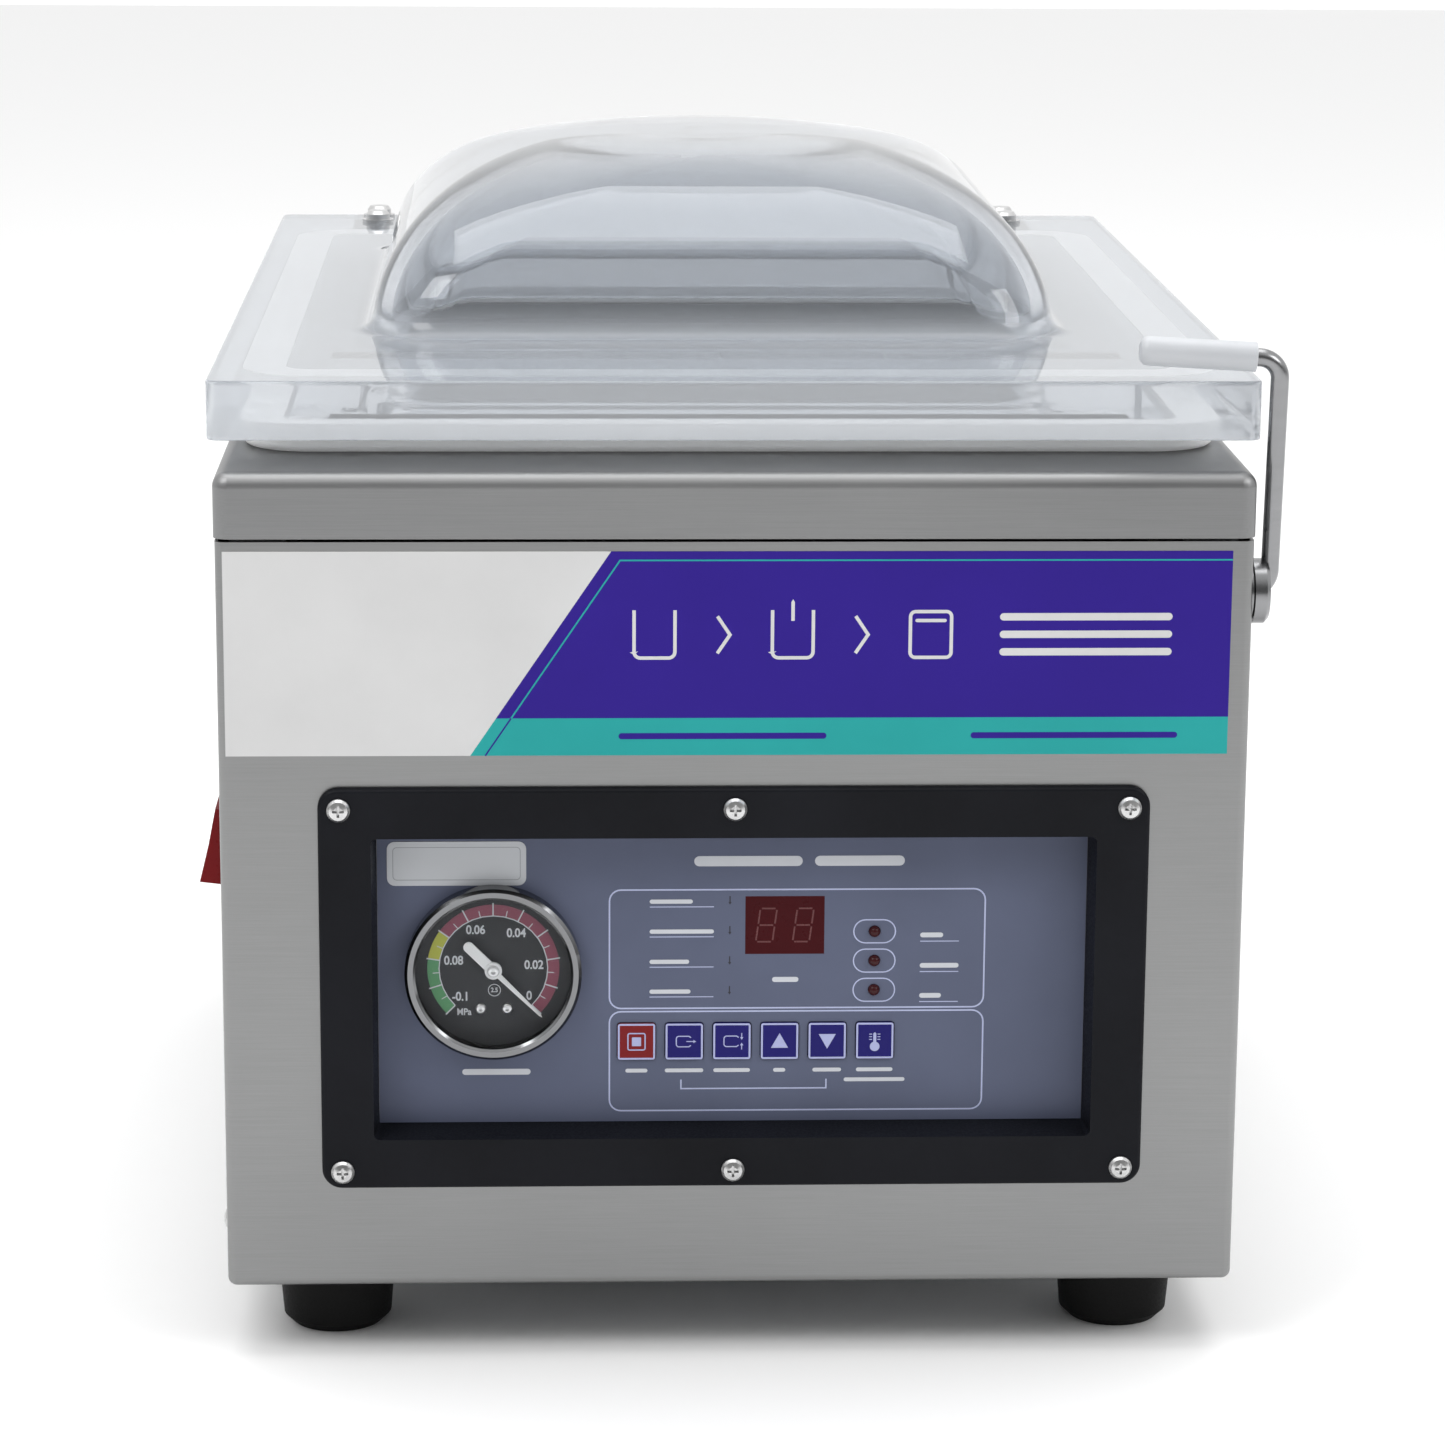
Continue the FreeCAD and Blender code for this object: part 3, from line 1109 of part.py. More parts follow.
def pump():
    axis = ("pump_middle", "pump_axis")

    def along(name, radius, start, end):
        return rod(name, radius, (axis[0], behind(start), axis[1]), "back", f"({end}) - ({start})")

    block = box("pump_block_casting", about("pump_middle", "block_half"),
                (behind("block_front"), behind("block_back")), ("block_bottom", "block_top"))
    inlet = rod("pump_inlet_boss", "12", ("pump_middle - 28", behind("(block_front + 25)"),
                                          "block_top"), "up", "14")
    passage = rod("pump_inlet_bore", "hose_radius", ("pump_middle - 28", behind("(block_front + 25)"),
                                                     "block_top - 10"), "up", "30")
    chamber = along("pump_vane_bore", "vane_bore", "(block_front + 14)", "(block_back - 14)")
    bearing = along("pump_bearing_bore", "rotor_shaft + bore_fit", "(block_back - 20)",
                    "(block_back + 1)")
    keep(cut("pump_block_cut", fuse("pump_block_blank", block, inlet), passage, chamber, bearing),
         "pump_block")
    filter_at = ("pump_middle + 22", behind("(block_front + 40)"), "block_top")
    exhaust = turned("exhaust_filter_body", [("0", "0"), ("14", "0"), ("14", "8"), ("24", "8"),
                                             ("24", "58"), ("20", "64"), ("0", "64")], filter_at)
    keep(exhaust, "exhaust_filter")
    shell = tube("motor_shell", "motor_radius", "motor_radius - motor_wall",
                 (axis[0], behind("block_back"), axis[1]), "back", "motor_back - block_back")
    stator = tube("motor_stator", "motor_radius - motor_wall", "stator_bore",
                  (axis[0], behind("(block_back + 25)"), axis[1]), "back", "75")
    shield = tube("motor_end_shield", "motor_radius - motor_wall", "rotor_shaft + bore_fit",
                  (axis[0], behind("(motor_back - 10)"), axis[1]), "back", "10")
    cowl = tube("fan_cowl", "motor_radius", "motor_radius - 2",
                (axis[0], behind("motor_back"), axis[1]), "back", "cowl_back - motor_back")
    keep(fuse("motor_housing_whole", shell, stator, shield, cowl), "motor_housing")
    shaft = along("rotor_shaft_bar", "rotor_shaft", "(block_front + 16)", "fan_back")
    core = along("rotor_core", "rotor_radius", "(block_back + 27)", "(block_back + 98)")
    vanes = along("rotor_vanes", "vane_rotor", "(block_front + 16)", "(block_back - 21)")
    keep(fuse("motor_rotor_whole", shaft, core, vanes), "motor_rotor")
    hub = along("fan_hub_blank", "fan_hub", "fan_front", "fan_back")
    blades = []
    for step in range(4):
        blade = box(f"fan_blade_{step}", both("fan_radius"), (behind("fan_front"), behind("fan_back")),
                    both("1"))
        blade.Placement = FreeCAD.Placement(V(0, 0, 0), FreeCAD.Rotation(V(0, 1, 0), 45 * step))
        turned_base = FreeCAD.Rotation(V(0, 1, 0), 45 * step).multVec(
            V(-number("fan_radius"), 0, -1))
        bind(blade, "Placement.Base.x", f"pump_middle + {turned_base.x}")
        bind(blade, "Placement.Base.y", behind("fan_front"))
        bind(blade, "Placement.Base.z", f"pump_axis + {turned_base.z}")
        blades.append(blade)
    bore = along("fan_shaft_space", "rotor_shaft", "(fan_front - 1)", "(fan_back + 1)")
    keep(cut("cooling_fan_cut", fuse("cooling_fan_blank", hub, *blades), bore), "cooling_fan")
    mounts = [rod(f"pump_mount_{x}_{y}", "mount_radius",
                  (f"(pump_middle + {side} * 35)", behind(f"({setback})"), TRAY_TOP), "up",
                  f"block_bottom - {TRAY_TOP}")
              for x, side in enumerate(("-1", "1"))
              for y, setback in enumerate(("block_front + 14", "block_back - 14"))]
    cradle = box("motor_cradle", about("pump_middle", "30"),
                 (behind("cradle_front"), behind("cradle_back")),
                 (TRAY_TOP, "pump_axis - motor_radius + 4"))
    saddle = cut("motor_saddle", cradle, along("motor_saddle_space", "motor_radius",
                                             "cradle_front - 10", "cradle_back + 10"))
    keep(group("pump_mounts_group", *mounts, saddle), "pump_mounts")


# ---- electrics and pipework -----------------------------------------------------------

def transformer():
    core = box("transformer_core", ("transformer_left", "transformer_right"),
               (behind("transformer_front"), behind("transformer_back")),
               (TRAY_TOP, f"{TRAY_TOP} + transformer_height"))
    coil = box("transformer_coil", ("transformer_left + coil_margin",
                                    "transformer_right - coil_margin"),
               (behind("(transformer_front - coil_overhang)"),
                behind("(transformer_back + coil_overhang)")),
               (f"{TRAY_TOP} + coil_margin", f"{TRAY_TOP} + transformer_height - coil_margin"))
    keep(fuse("transformer_whole", core, coil), "transformer")


def valve_block():
    """Two solenoid valves on one manifold, on a stand from the tray."""
    middle = behind("valve_setback")
    face = f"({middle} - valve_half)"
    stand = box("valve_stand", ("valve_left - stand_margin", "valve_right + stand_margin"),
                (f"({face} - stand_gauge)", face), (TRAY_TOP, "valve_high + stand_margin"))
    manifold = box("valve_manifold", ("valve_left", "valve_right"), about(middle, "valve_half"),
                   ("valve_low", "valve_high"))
    coils = [rod(f"valve_coil_{step}", "valve_half", (f"coil_first + coil_pitch * {step}", middle,
                                                      "valve_low"), "down", "coil_length")
             for step in range(2)]
    port = rod("valve_port", "port_radius", ("port_offset", middle, "valve_high"), "up",
               "port_length")
    keep(fuse("valve_block_whole", stand, manifold, port, *coils), "valve_block")


def vacuum_hoses():
    """Tank port to valve, valve to pump inlet, and the thin line to the gauge."""
    def route(points, bend):
        return rounded_route([V(*(number(part) for part in point)) for point in points], bend)

    valve_y = behind("valve_setback")
    riser = route([("port_offset", behind("port_setback"), f"{TANK_FLOOR} - tank_gauge"),
                   ("port_offset", valve_y, "valve_high + port_length")], 10)
    inlet = ("pump_middle - 28", behind("(block_front + 25)"))
    outlet = "(valve_low + valve_high) / 2"
    feed = route([("valve_right", valve_y, outlet), ("feed_offset", valve_y, outlet),
                  ("feed_offset", valve_y, "feed_height"), ("feed_offset", inlet[1], "feed_height"),
                  (*inlet, "feed_height"), (*inlet, "block_top + 14")], 14)
    tap = ("gauge_offset", behind("(plate_setback + 30)"), "gauge_height")
    near, far = behind("line_front"), behind("line_back")
    line = route([tap, (tap[0], near, tap[2]), (tap[0], near, "line_height"),
                  (tap[0], far, "line_height"), ("line_offset", far, "line_height"),
                  ("line_offset", valve_y, "line_height"),
                  ("line_offset", valve_y, "valve_high")], 12)
    runs = [swept("vacuum_riser", riser, "hose_radius"), swept("vacuum_feed", feed, "hose_radius"),
            swept("gauge_line", line, "hose_bore")]
    keep(group("vacuum_hoses_group", *runs), "vacuum_hoses")


def power_inlet():
    """A three-pin appliance socket in the rear panel."""
    flange = box("inlet_flange", about("inlet_offset", "(inlet_half + 3)"), (BACK, f"({BACK} + 2)"),
                 about("inlet_height", "(inlet_rise + 2.5)"))
    shell = box("inlet_shell", about("inlet_offset", "(inlet_half - 0.2)"), (f"({BACK} - 26)", BACK),
                about("inlet_height", "(inlet_rise - 0.2)"))
    mouth = box("inlet_mouth", about("inlet_offset", "(inlet_half - 2)"),
                (f"({BACK} - 15)", f"({BACK} + 3)"), about("inlet_height", "(inlet_rise - 2.3)"))
    pins = [box(f"inlet_pin_{step}", about(f"(inlet_offset + {x})", "1"),
                (f"({BACK} - 16)", f"({BACK} - 3)"), about(f"(inlet_height + {z})", "2"))
            for step, (x, z) in enumerate((("-7", "-1"), ("0", "3"), ("7", "-1")))]
    socket = cut("inlet_socket", fuse("inlet_blank", flange, shell), mouth)
    keep(fuse("power_inlet_whole", socket, *pins), "power_inlet")


def lid_switch():
    """A small switch under the deck, with a blade that reaches towards the left hinge arm."""
    beside = "(hinge_offset - notch_width / 2 - 1)"
    case = box("lid_switch_case", (f"(-{beside})", f"(-{beside} + 20)"),
               about(behind("limit_setback"), "5"), (f"({DECK_UNDER} - 16)", DECK_UNDER))
    blade = box("lid_switch_blade", ("(blade_gauge / 2 + 0.6 - hinge_offset)", f"(-{beside})"),
                about(behind("(limit_setback - 0.5)"), "2.5"),
                (f"({DECK_UNDER} - 12)", f"({DECK_UNDER} - 11.4)"))
    keep(fuse("lid_switch_whole", case, blade), "lid_switch")


# ---- checks and files -----------------------------------------------------------------

def write_files():
    document.recompute()
    failed = [item.Name for item in document.Objects if {"Invalid", "Error"} & set(item.State)]
    if failed:
        raise RuntimeError("did not build: " + ", ".join(failed))
    os.makedirs("parts", exist_ok=True)
    for name, item in pieces:
        if item.Shape.isNull() or not item.Shape.isValid():
            raise RuntimeError(f"{name} has no valid shape")
    for name, item in pieces:
        item.Shape.exportStep(f"parts/{name}.step")


def build():
    fill_sheet()
    for make in (base_tray, front_panel, side_panels, rear_panel, corner_posts, deck,
                 chamber_tank, chamber_gasket, seal_bar, feet, panel_screws, lid, counter_bar,
                 lid_screws, hinge_arms, hinge_shaft, spring_levers, hinge_brackets, lid_springs,
                 control_bezel, control_plate, status_lamps, panel_keys, control_board, gauge,
                 latch_bush, latch_lever, power_switch, pump, transformer, valve_block,
                 vacuum_hoses, power_inlet, lid_switch):
        make()
    document.removeObject(sums.Name)
    write_files()


build()
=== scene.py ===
import math

import bmesh
import bpy
from mathutils import Matrix, Vector


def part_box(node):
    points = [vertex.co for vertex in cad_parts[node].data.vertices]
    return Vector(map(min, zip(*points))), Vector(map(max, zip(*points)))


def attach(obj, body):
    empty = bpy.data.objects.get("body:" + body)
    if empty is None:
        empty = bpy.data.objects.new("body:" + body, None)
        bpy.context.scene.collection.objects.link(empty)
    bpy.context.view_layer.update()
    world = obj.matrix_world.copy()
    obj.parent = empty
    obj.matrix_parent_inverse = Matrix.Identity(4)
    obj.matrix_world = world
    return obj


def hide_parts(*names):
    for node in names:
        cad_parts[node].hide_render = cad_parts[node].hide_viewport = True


# A table-top vacuum chamber sealer: materials, printed graphics, the clear lid and small
# details around the CAD frame.  Everything is in metres; +Y runs from front to back.

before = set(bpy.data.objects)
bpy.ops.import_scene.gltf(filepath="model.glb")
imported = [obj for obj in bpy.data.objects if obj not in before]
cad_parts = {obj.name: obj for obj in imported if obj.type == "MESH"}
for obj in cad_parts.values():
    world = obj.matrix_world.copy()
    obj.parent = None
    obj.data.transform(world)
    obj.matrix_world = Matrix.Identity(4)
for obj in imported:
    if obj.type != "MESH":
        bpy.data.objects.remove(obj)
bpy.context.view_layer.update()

MM = 0.001
WHITE = (1, 1, 1, 1)


def low(node):
    return Vector(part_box(node)[0])


def high(node):
    return Vector(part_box(node)[1])


def middle(node):
    return (low(node) + high(node)) / 2


# ---- camera, floor and light ----------------------------------------------------------

CAMERA_PLACE = (-0.0617, -1.6423, 0.5398)
CAMERA_PITCH, CAMERA_YAW, CAMERA_ROLL = (math.radians(turn) for turn in (13.01, 2.34, 0.38))
SENSOR_WIDTH, FOCAL_LENGTH = 36, 112.8
FLOOR_WIDTH = 12
LIGHT_TARGET = (0, 0, 0.2)
UP_AND_BACK = (0, 0.6, 0.8)


def make_camera():
    """Looks a little down on the front, from just left of the middle."""
    camera = bpy.data.cameras.new("camera")
    camera.sensor_width, camera.lens = SENSOR_WIDTH, FOCAL_LENGTH
    item = bpy.data.objects.new("camera", camera)
    item.matrix_world = (Matrix.Translation(CAMERA_PLACE)
                         @ Matrix.Rotation(-CAMERA_YAW, 4, "Z")
                         @ Matrix.Rotation(math.pi / 2 - CAMERA_PITCH, 4, "X")
                         @ Matrix.Rotation(CAMERA_ROLL, 4, "Z"))
    bpy.context.scene.collection.objects.link(item)
    bpy.context.scene.camera = item


def make_floor():
    bpy.ops.mesh.primitive_plane_add(size=FLOOR_WIDTH, location=(0, 0, 0))
    floor = bpy.context.object
    floor.name = "floor"
    floor.data.materials.append(plain("floor_paper", (0.93, 0.93, 0.93), 0.75))


def add_light(name, place, width, height, power):
    """A rectangular light in watts and metres, turned to the machine's middle."""
    light = bpy.data.lights.new(name, "AREA")
    light.shape = "RECTANGLE"
    light.size, light.size_y = width, height
    light.energy = power
    item = bpy.data.objects.new(name, light)
    item.location = place
    aim = Vector(LIGHT_TARGET) - Vector(place)
    item.rotation_euler = aim.to_track_quat("-Z", "Y").to_euler()
    bpy.context.scene.collection.objects.link(item)


def make_world():
    """White light from above and behind, and dim in front, where the metal mirrors it."""
    world = bpy.data.worlds.new("studio")
    world.use_nodes = True
    bpy.context.scene.world = world
    tree = world.node_tree
    coordinates = tree.nodes.new("ShaderNodeTexCoord")
    toward = tree.nodes.new("ShaderNodeVectorMath")
    toward.operation = "DOT_PRODUCT"
    toward.inputs[1].default_value = UP_AND_BACK
    tree.links.new(coordinates.outputs["Generated"], toward.inputs[0])
    strength = mapped(tree, toward.outputs["Value"], (-0.35, 0.45), (0.16, 1.05), "SMOOTHSTEP")
    background = tree.nodes["Background"]
    background.inputs["Color"].default_value = WHITE
    tree.links.new(strength, background.inputs["Strength"])


def make_lights():
    add_light("key", (-1.5, -1.5, 2.3), 1.2, 1.0, 20)
    add_light("fill", (1.9, -1.3, 1.6), 1.0, 1.0, 15)
    add_light("top", (0, 0.2, 2.4), 2.0, 2.0, 29)
    bpy.context.scene.view_settings.view_transform = "Standard"


# ---- materials ------------------------------------------------------------------------

def plain(name, colour, roughness, **sockets):
    """A principled material; sockets are set by name with underscores for spaces."""
    surface = bpy.data.materials.new(name)
    surface.use_nodes = True
    shader = surface.node_tree.nodes["Principled BSDF"]
    shader.inputs["Base Color"].default_value = (*colour, 1)
    shader.inputs["Roughness"].default_value = roughness
    for socket, value in sockets.items():
        shader.inputs[socket.replace("_", " ")].default_value = value
    return surface


def mapped(tree, source, before, after, blend="LINEAR"):
    """A value carried from one range to another."""
    node = tree.nodes.new("ShaderNodeMapRange")
    node.interpolation_type = blend
    node.inputs["From Min"].default_value, node.inputs["From Max"].default_value = before
    node.inputs["To Min"].default_value, node.inputs["To Max"].default_value = after
    tree.links.new(source, node.inputs["Value"])
    return node.outputs["Result"]


def noise_of(tree, stretch, scale, detail=3, roughness=0.5):
    """Noise in the piece's own metres, stretched by a factor along each axis."""
    coordinates = tree.nodes.new("ShaderNodeTexCoord")
    mapping = tree.nodes.new("ShaderNodeMapping")
    mapping.inputs["Scale"].default_value = stretch
    noise = tree.nodes.new("ShaderNodeTexNoise")
    noise.inputs["Scale"].default_value = scale
    noise.inputs["Detail"].default_value = detail
    noise.inputs["Roughness"].default_value = roughness
    tree.links.new(coordinates.outputs["Object"], mapping.inputs["Vector"])
    tree.links.new(mapping.outputs["Vector"], noise.inputs["Vector"])
    return noise.outputs["Fac"]


def vary_colour(surface, source, dark, light, start=0.35, end=0.65):
    tree = surface.node_tree
    ramp = tree.nodes.new("ShaderNodeValToRGB")
    first, last = ramp.color_ramp.elements
    first.position, first.color = start, (*dark, 1)
    last.position, last.color = end, (*light, 1)
    tree.links.new(source, ramp.inputs["Fac"])
    tree.links.new(ramp.outputs["Color"], tree.nodes["Principled BSDF"].inputs["Base Color"])


def vary_roughness(surface, source, least, most):
    tree = surface.node_tree
    spread = mapped(tree, source, (0.3, 0.7), (least, most))
    tree.links.new(spread, tree.nodes["Principled BSDF"].inputs["Roughness"])


def add_bump(surface, source, strength, depth):
    tree = surface.node_tree
    bump = tree.nodes.new("ShaderNodeBump")
    bump.inputs["Strength"].default_value = strength
    bump.inputs["Distance"].default_value = depth
    tree.links.new(source, bump.inputs["Height"])
    tree.links.new(bump.outputs["Normal"], tree.nodes["Principled BSDF"].inputs["Normal"])


def shaded(colour, change):
    return tuple(max(0.0, min(1.0, part * change)) for part in colour)


def grained(name, colour, roughness, grain, depth, spread=0.12, strength=0.3, **sockets):
    """A moulded or coated surface: soft cloudy tone, uneven gloss and fine grain."""
    surface = plain(name, colour, roughness, **sockets)
    tree = surface.node_tree
    clouds = noise_of(tree, (1, 1, 1), 22, 4)
    vary_colour(surface, clouds, shaded(colour, 1 - spread), shaded(colour, 1 + spread))
    fine = noise_of(tree, (1, 1, 1), grain, 3)
    vary_roughness(surface, fine, roughness * 0.85, min(1, roughness * 1.2))
    add_bump(surface, fine, strength, depth)
    return surface


def brushed(name, colour, stretch, roughness=0.3, depth=0.00002, streak=0.04, cloud=0.05):
    """Satin metal: hairlines long where the stretch is small, and soft broad clouds."""
    surface = plain(name, colour, roughness, Metallic=1)
    tree = surface.node_tree
    lines = noise_of(tree, stretch, 1, 5, 0.7)
    clouds = noise_of(tree, (1, 1, 1), 6, 3)
    tone = tree.nodes.new("ShaderNodeMath")
    tone.operation = "MULTIPLY_ADD"
    tone.inputs[1].default_value = streak / (streak + cloud)
    share = tree.nodes.new("ShaderNodeMath")
    share.operation = "MULTIPLY"
    share.inputs[1].default_value = cloud / (streak + cloud)
    tree.links.new(clouds, share.inputs[0])
    tree.links.new(lines, tone.inputs[0])
    tree.links.new(share.outputs[0], tone.inputs[2])
    vary_colour(surface, tone.outputs[0], shaded(colour, 1 - streak - cloud),
                shaded(colour, 1 + streak + cloud))
    vary_roughness(surface, clouds, roughness * 0.9, roughness * 1.1)
    add_bump(surface, lines, 0.2, depth)
    return surface


def height_of(tree, vector):
    """The Z part of a vector output."""
    parts = tree.nodes.new("ShaderNodeSeparateXYZ")
    tree.links.new(vector, parts.inputs[0])
    return parts.outputs["Z"]


def acrylic():
    """Clear acrylic with a soft haze, stronger in the thick plate than in the drawn dome; its
    colour is painted darker where it faces up and lighter where it faces sideways, as painted shade
    and painted light.
    """
    side_painted_light, top_painted_shade = (0.82, 0.85, 0.89), (0.47, 0.5, 0.54)
    plate_clarity, dome_clarity = 0.64, 0.9
    surface = plain("clear_acrylic", top_painted_shade, 0.02, IOR=1.49, Specular_IOR_Level=0.12)
    tree = surface.node_tree
    # Painted shade and light: the colour is darker on faces that look up and lighter on faces that
    # look sideways.
    upward_shade_mask = height_of(tree, tree.nodes.new("ShaderNodeNewGeometry").outputs["Normal"])
    vary_colour(surface, upward_shade_mask, side_painted_light, top_painted_shade, 0.1, 0.9)
    height = height_of(tree, tree.nodes.new("ShaderNodeTexCoord").outputs["Object"])
    plate_top = low("lid").z + PLATE
    clarity = mapped(tree, height, (plate_top, plate_top + 14 * MM),
                     (plate_clarity, dome_clarity), "SMOOTHSTEP")
    tree.links.new(clarity, tree.nodes["Principled BSDF"].inputs["Transmission Weight"])
    add_bump(surface, noise_of(tree, (1, 1, 1), 14, 2), 0.12, 0.0006)
    return surface


def dress(surface, *nodes):
    """Gives carried-over CAD nodes a material."""
    for node in nodes:
        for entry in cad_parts[node].material_slots:
            entry.material = surface


# ---- mesh helpers ---------------------------------------------------------------------

def finish_mesh(name, mesh, surface, body, smooth=True):
    data = bpy.data.meshes.new(name)
    bmesh.ops.recalc_face_normals(mesh, faces=mesh.faces)
    mesh.to_mesh(data)
    mesh.free()
    data.materials.append(surface)
    for face in data.polygons:
        face.use_smooth = smooth
    item = bpy.data.objects.new(name, data)
    bpy.context.scene.collection.objects.link(item)
    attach(item, body)
    return item


def ring_stack(mesh, rings):
    """Skins a list of closed rings of the same number of points, and closes both ends."""
    loops = [[mesh.verts.new(point) for point in ring] for ring in rings]
    count = len(loops[0])
    for lower, upper in zip(loops, loops[1:]):
        for step in range(count):
            after = (step + 1) % count
            mesh.faces.new((lower[step], lower[after], upper[after], upper[step]))
    mesh.faces.new(loops[0][::-1])
    mesh.faces.new(loops[-1])


def rounded_outline(left, right, low_side, high_side, radius, steps=6, side_steps=0):
    """Points of a round-cornered rectangle, anticlockwise, some of them on its straight sides."""
    corners = ((right - radius, low_side + radius), (right - radius, high_side - radius),
               (left + radius, high_side - radius), (left + radius, low_side + radius))
    points = []
    for corner, (x, y) in enumerate(corners):
        turns = [math.pi / 2 * (corner - 1 + step / steps) for step in range(steps + 1)]
        points += [(x + radius * math.cos(turn), y + radius * math.sin(turn)) for turn in turns]
        x, y = corners[(corner + 1) % 4]
        turn = math.pi / 2 * corner
        start, end = points[-1], (x + radius * math.cos(turn), y + radius * math.sin(turn))
        for step in range(1, side_steps + 1):
            share = (1 - math.cos(math.pi * step / (side_steps + 1))) / 2
            points.append(tuple(first + (last - first) * share
                                for first, last in zip(start, end)))
    return points


# ---- lid ------------------------------------------------------------------------------

# The plate's thickness; the dome's last ring, its curve, its half width and the distances of
# its ends from the plate's front edge; its place off the middle; its wall and round corners.
PLATE = 18.9 * MM
CROWN = math.radians(89.4)
DOME_BOW = 0.6
DOME_X, DOME_FRONT, DOME_BACK = 116 * MM, 96.6 * MM, 359.6 * MM
DOME_SHIFT = -3 * MM
DOME_WALL = 6 * MM
DOME_CORNER, CORNER_GROWTH = 25 * MM, 30 * MM
CORNER_STEPS, SIDE_STEPS = 14, 9


def dome_ring(inset, corner, z):
    """A ring of the dome, that far in from its foot; the corners are round."""
    start = low("lid").y
    outline = rounded_outline(inset - DOME_X, DOME_X - inset, start + DOME_FRONT + inset,
                              start + DOME_BACK - inset, corner, CORNER_STEPS, SIDE_STEPS)
    return [Vector((x + DOME_SHIFT, y, z)) for x, y in outline]


def dome_side(wall, foot, rise, first=0.0, steps=30):
    """Rings up one face of the dome, from a starting angle to its nearly flat crown."""
    rings = []
    for step in range(steps + 1):
        turn = first + (CROWN - first) * step / steps
        half = (DOME_X - wall) * math.cos(turn) ** DOME_BOW
        corner = DOME_CORNER + CORNER_GROWTH * math.sin(turn) ** 2 - wall * 0.8
        corner = min(corner, half * 0.93)
        rings.append(dome_ring(DOME_X - half, corner, foot + rise * math.sin(turn)))
    return rings


def flare(wall, z, radius, steps=5):
    """Rings round a quarter circle that turns from flat to upright at a foot or a mouth."""
    rings = []
    for step in range(steps):
        turn = math.pi / 2 * step / steps
        out = radius * (1 - math.sin(turn))
        rings.append(dome_ring(wall - out, DOME_CORNER - wall + out,
                               z + radius * (1 - math.cos(turn))))
    return rings


def plate_ring(inset, z):
    start, end = low("lid"), high("lid")
    outline = rounded_outline(start.x + inset, end.x - inset, start.y + inset, end.y - inset,
                              max(4 * MM - inset, MM), CORNER_STEPS, SIDE_STEPS)
    return [Vector((x, y, z)) for x, y in outline]


def make_lid():
    """The clear plate with its hollow dome, as one closed skin."""
    under, top = low("lid").z, low("lid").z + PLATE
    rise = high("lid").z - top
    root, spread, mouth, bevel = 6 * MM, 9 * MM, 2 * MM, 0.5 * MM
    outer = flare(0, top, root) + dome_side(0, top, rise, math.asin(root / rise))
    rim = [dome_ring(-spread, DOME_CORNER + spread, top)]
    rim += [plate_ring(inset, z) for inset, z in (
        (4 * bevel, top), (bevel, top), (0.3 * bevel, top - 0.3 * bevel), (0, top - bevel),
        (0, top - 3 * bevel), (0, under + 3 * bevel), (0, under + bevel),
        (0.3 * bevel, under + 0.3 * bevel), (bevel, under), (4 * bevel, under))]
    inner = [dome_ring(DOME_WALL - 2 * mouth, 20 * MM, under)]
    inner += flare(DOME_WALL, under, mouth)
    inner += [dome_ring(DOME_WALL, DOME_CORNER - DOME_WALL, z)
              for z in (under + 1.5 * mouth, top - mouth)]
    inner += dome_side(DOME_WALL, top, rise - DOME_WALL)
    mesh = bmesh.new()
    ring_stack(mesh, list(reversed(outer)) + rim + inner)
    lid = finish_mesh("clear_lid", mesh, acrylic(), "lid")
    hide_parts("lid")


# ---- printed graphics -----------------------------------------------------------------

# Where the panel's columns and rows are, in millimetres, and how far artwork stands off what
# it is printed on.
KEYS = [-31.2 + 15.6 * step for step in range(6)]
LAMPS = (122.1, 132, 141.9)
ROWS = (120, 130.1, 140.3, 150.4)
LEVELS = (118, 128.2, 138.5)
PRINT_GAP = 0.03 * MM
OVER_PRINT = 0.02 * MM


def arc(x, z, radius, start, end, steps=16):
    """Points along an arc, its angles in degrees anticlockwise from the right."""
    turns = [math.radians(start + (end - start) * step / steps) for step in range(steps + 1)]
    return [(x + radius * math.cos(turn), z + radius * math.sin(turn)) for turn in turns]


def disc(x, z, radius):
    return arc(x, z, radius, 0, 352.5, 47)


def stroke(points, width):
    """The closed outline of an even line through the points."""
    ahead, behind = [], []
    for step, point in enumerate(points):
        here = Vector(point)
        sides = []
        if step:
            sides.append((here - Vector(points[step - 1])).normalized())
        if step < len(points) - 1:
            sides.append((Vector(points[step + 1]) - here).normalized())
        way = sum(sides, Vector((0, 0))).normalized()
        reach = width / 2 / max(0.4, way.dot(sides[0]))
        across = Vector((-way.y, way.x)) * reach
        ahead.append(tuple(here + across))
        behind.append(tuple(here - across))
    return ahead + behind[::-1]


def bar(left, right, low_side, high_side):
    """A rectangle, its ends a little rounded."""
    radius = min(right - left, high_side - low_side) * 0.49
    return rounded_outline(left, right, low_side, high_side, radius, 4)


def ruled(left, right, low_side, high_side, radius, width):
    """A round-cornered frame line: its outer and inner loops."""
    inner = rounded_outline(left + width, right - width, low_side + width, high_side - width,
                            max(radius - width, 0.1))
    return [rounded_outline(left, right, low_side, high_side, radius), inner]


def moved(loops, x, z):
    return [[(x + across, z + up) for across, up in loop] for loop in loops]


def press(name, curve, face, depth, surface, body):
    """A flat curve or text becomes a thin mesh that faces the front, its face at the given Y."""
    curve.extrude = depth / 2 * MM
    item = bpy.data.objects.new(name + "_line", curve)
    bpy.context.scene.collection.objects.link(item)
    graph = bpy.context.evaluated_depsgraph_get()
    data = bpy.data.meshes.new_from_object(item.evaluated_get(graph))
    bpy.data.objects.remove(item)
    data.transform(Matrix.Translation((0, face + depth / 2 * MM, 0))
                   @ Matrix.Rotation(math.pi / 2, 4, "X"))
    mesh = bmesh.new()
    mesh.from_mesh(data)
    bpy.data.meshes.remove(data)
    bmesh.ops.remove_doubles(mesh, verts=mesh.verts, dist=2e-6)
    piece = finish_mesh(name, mesh, surface, body, smooth=False)
    return piece


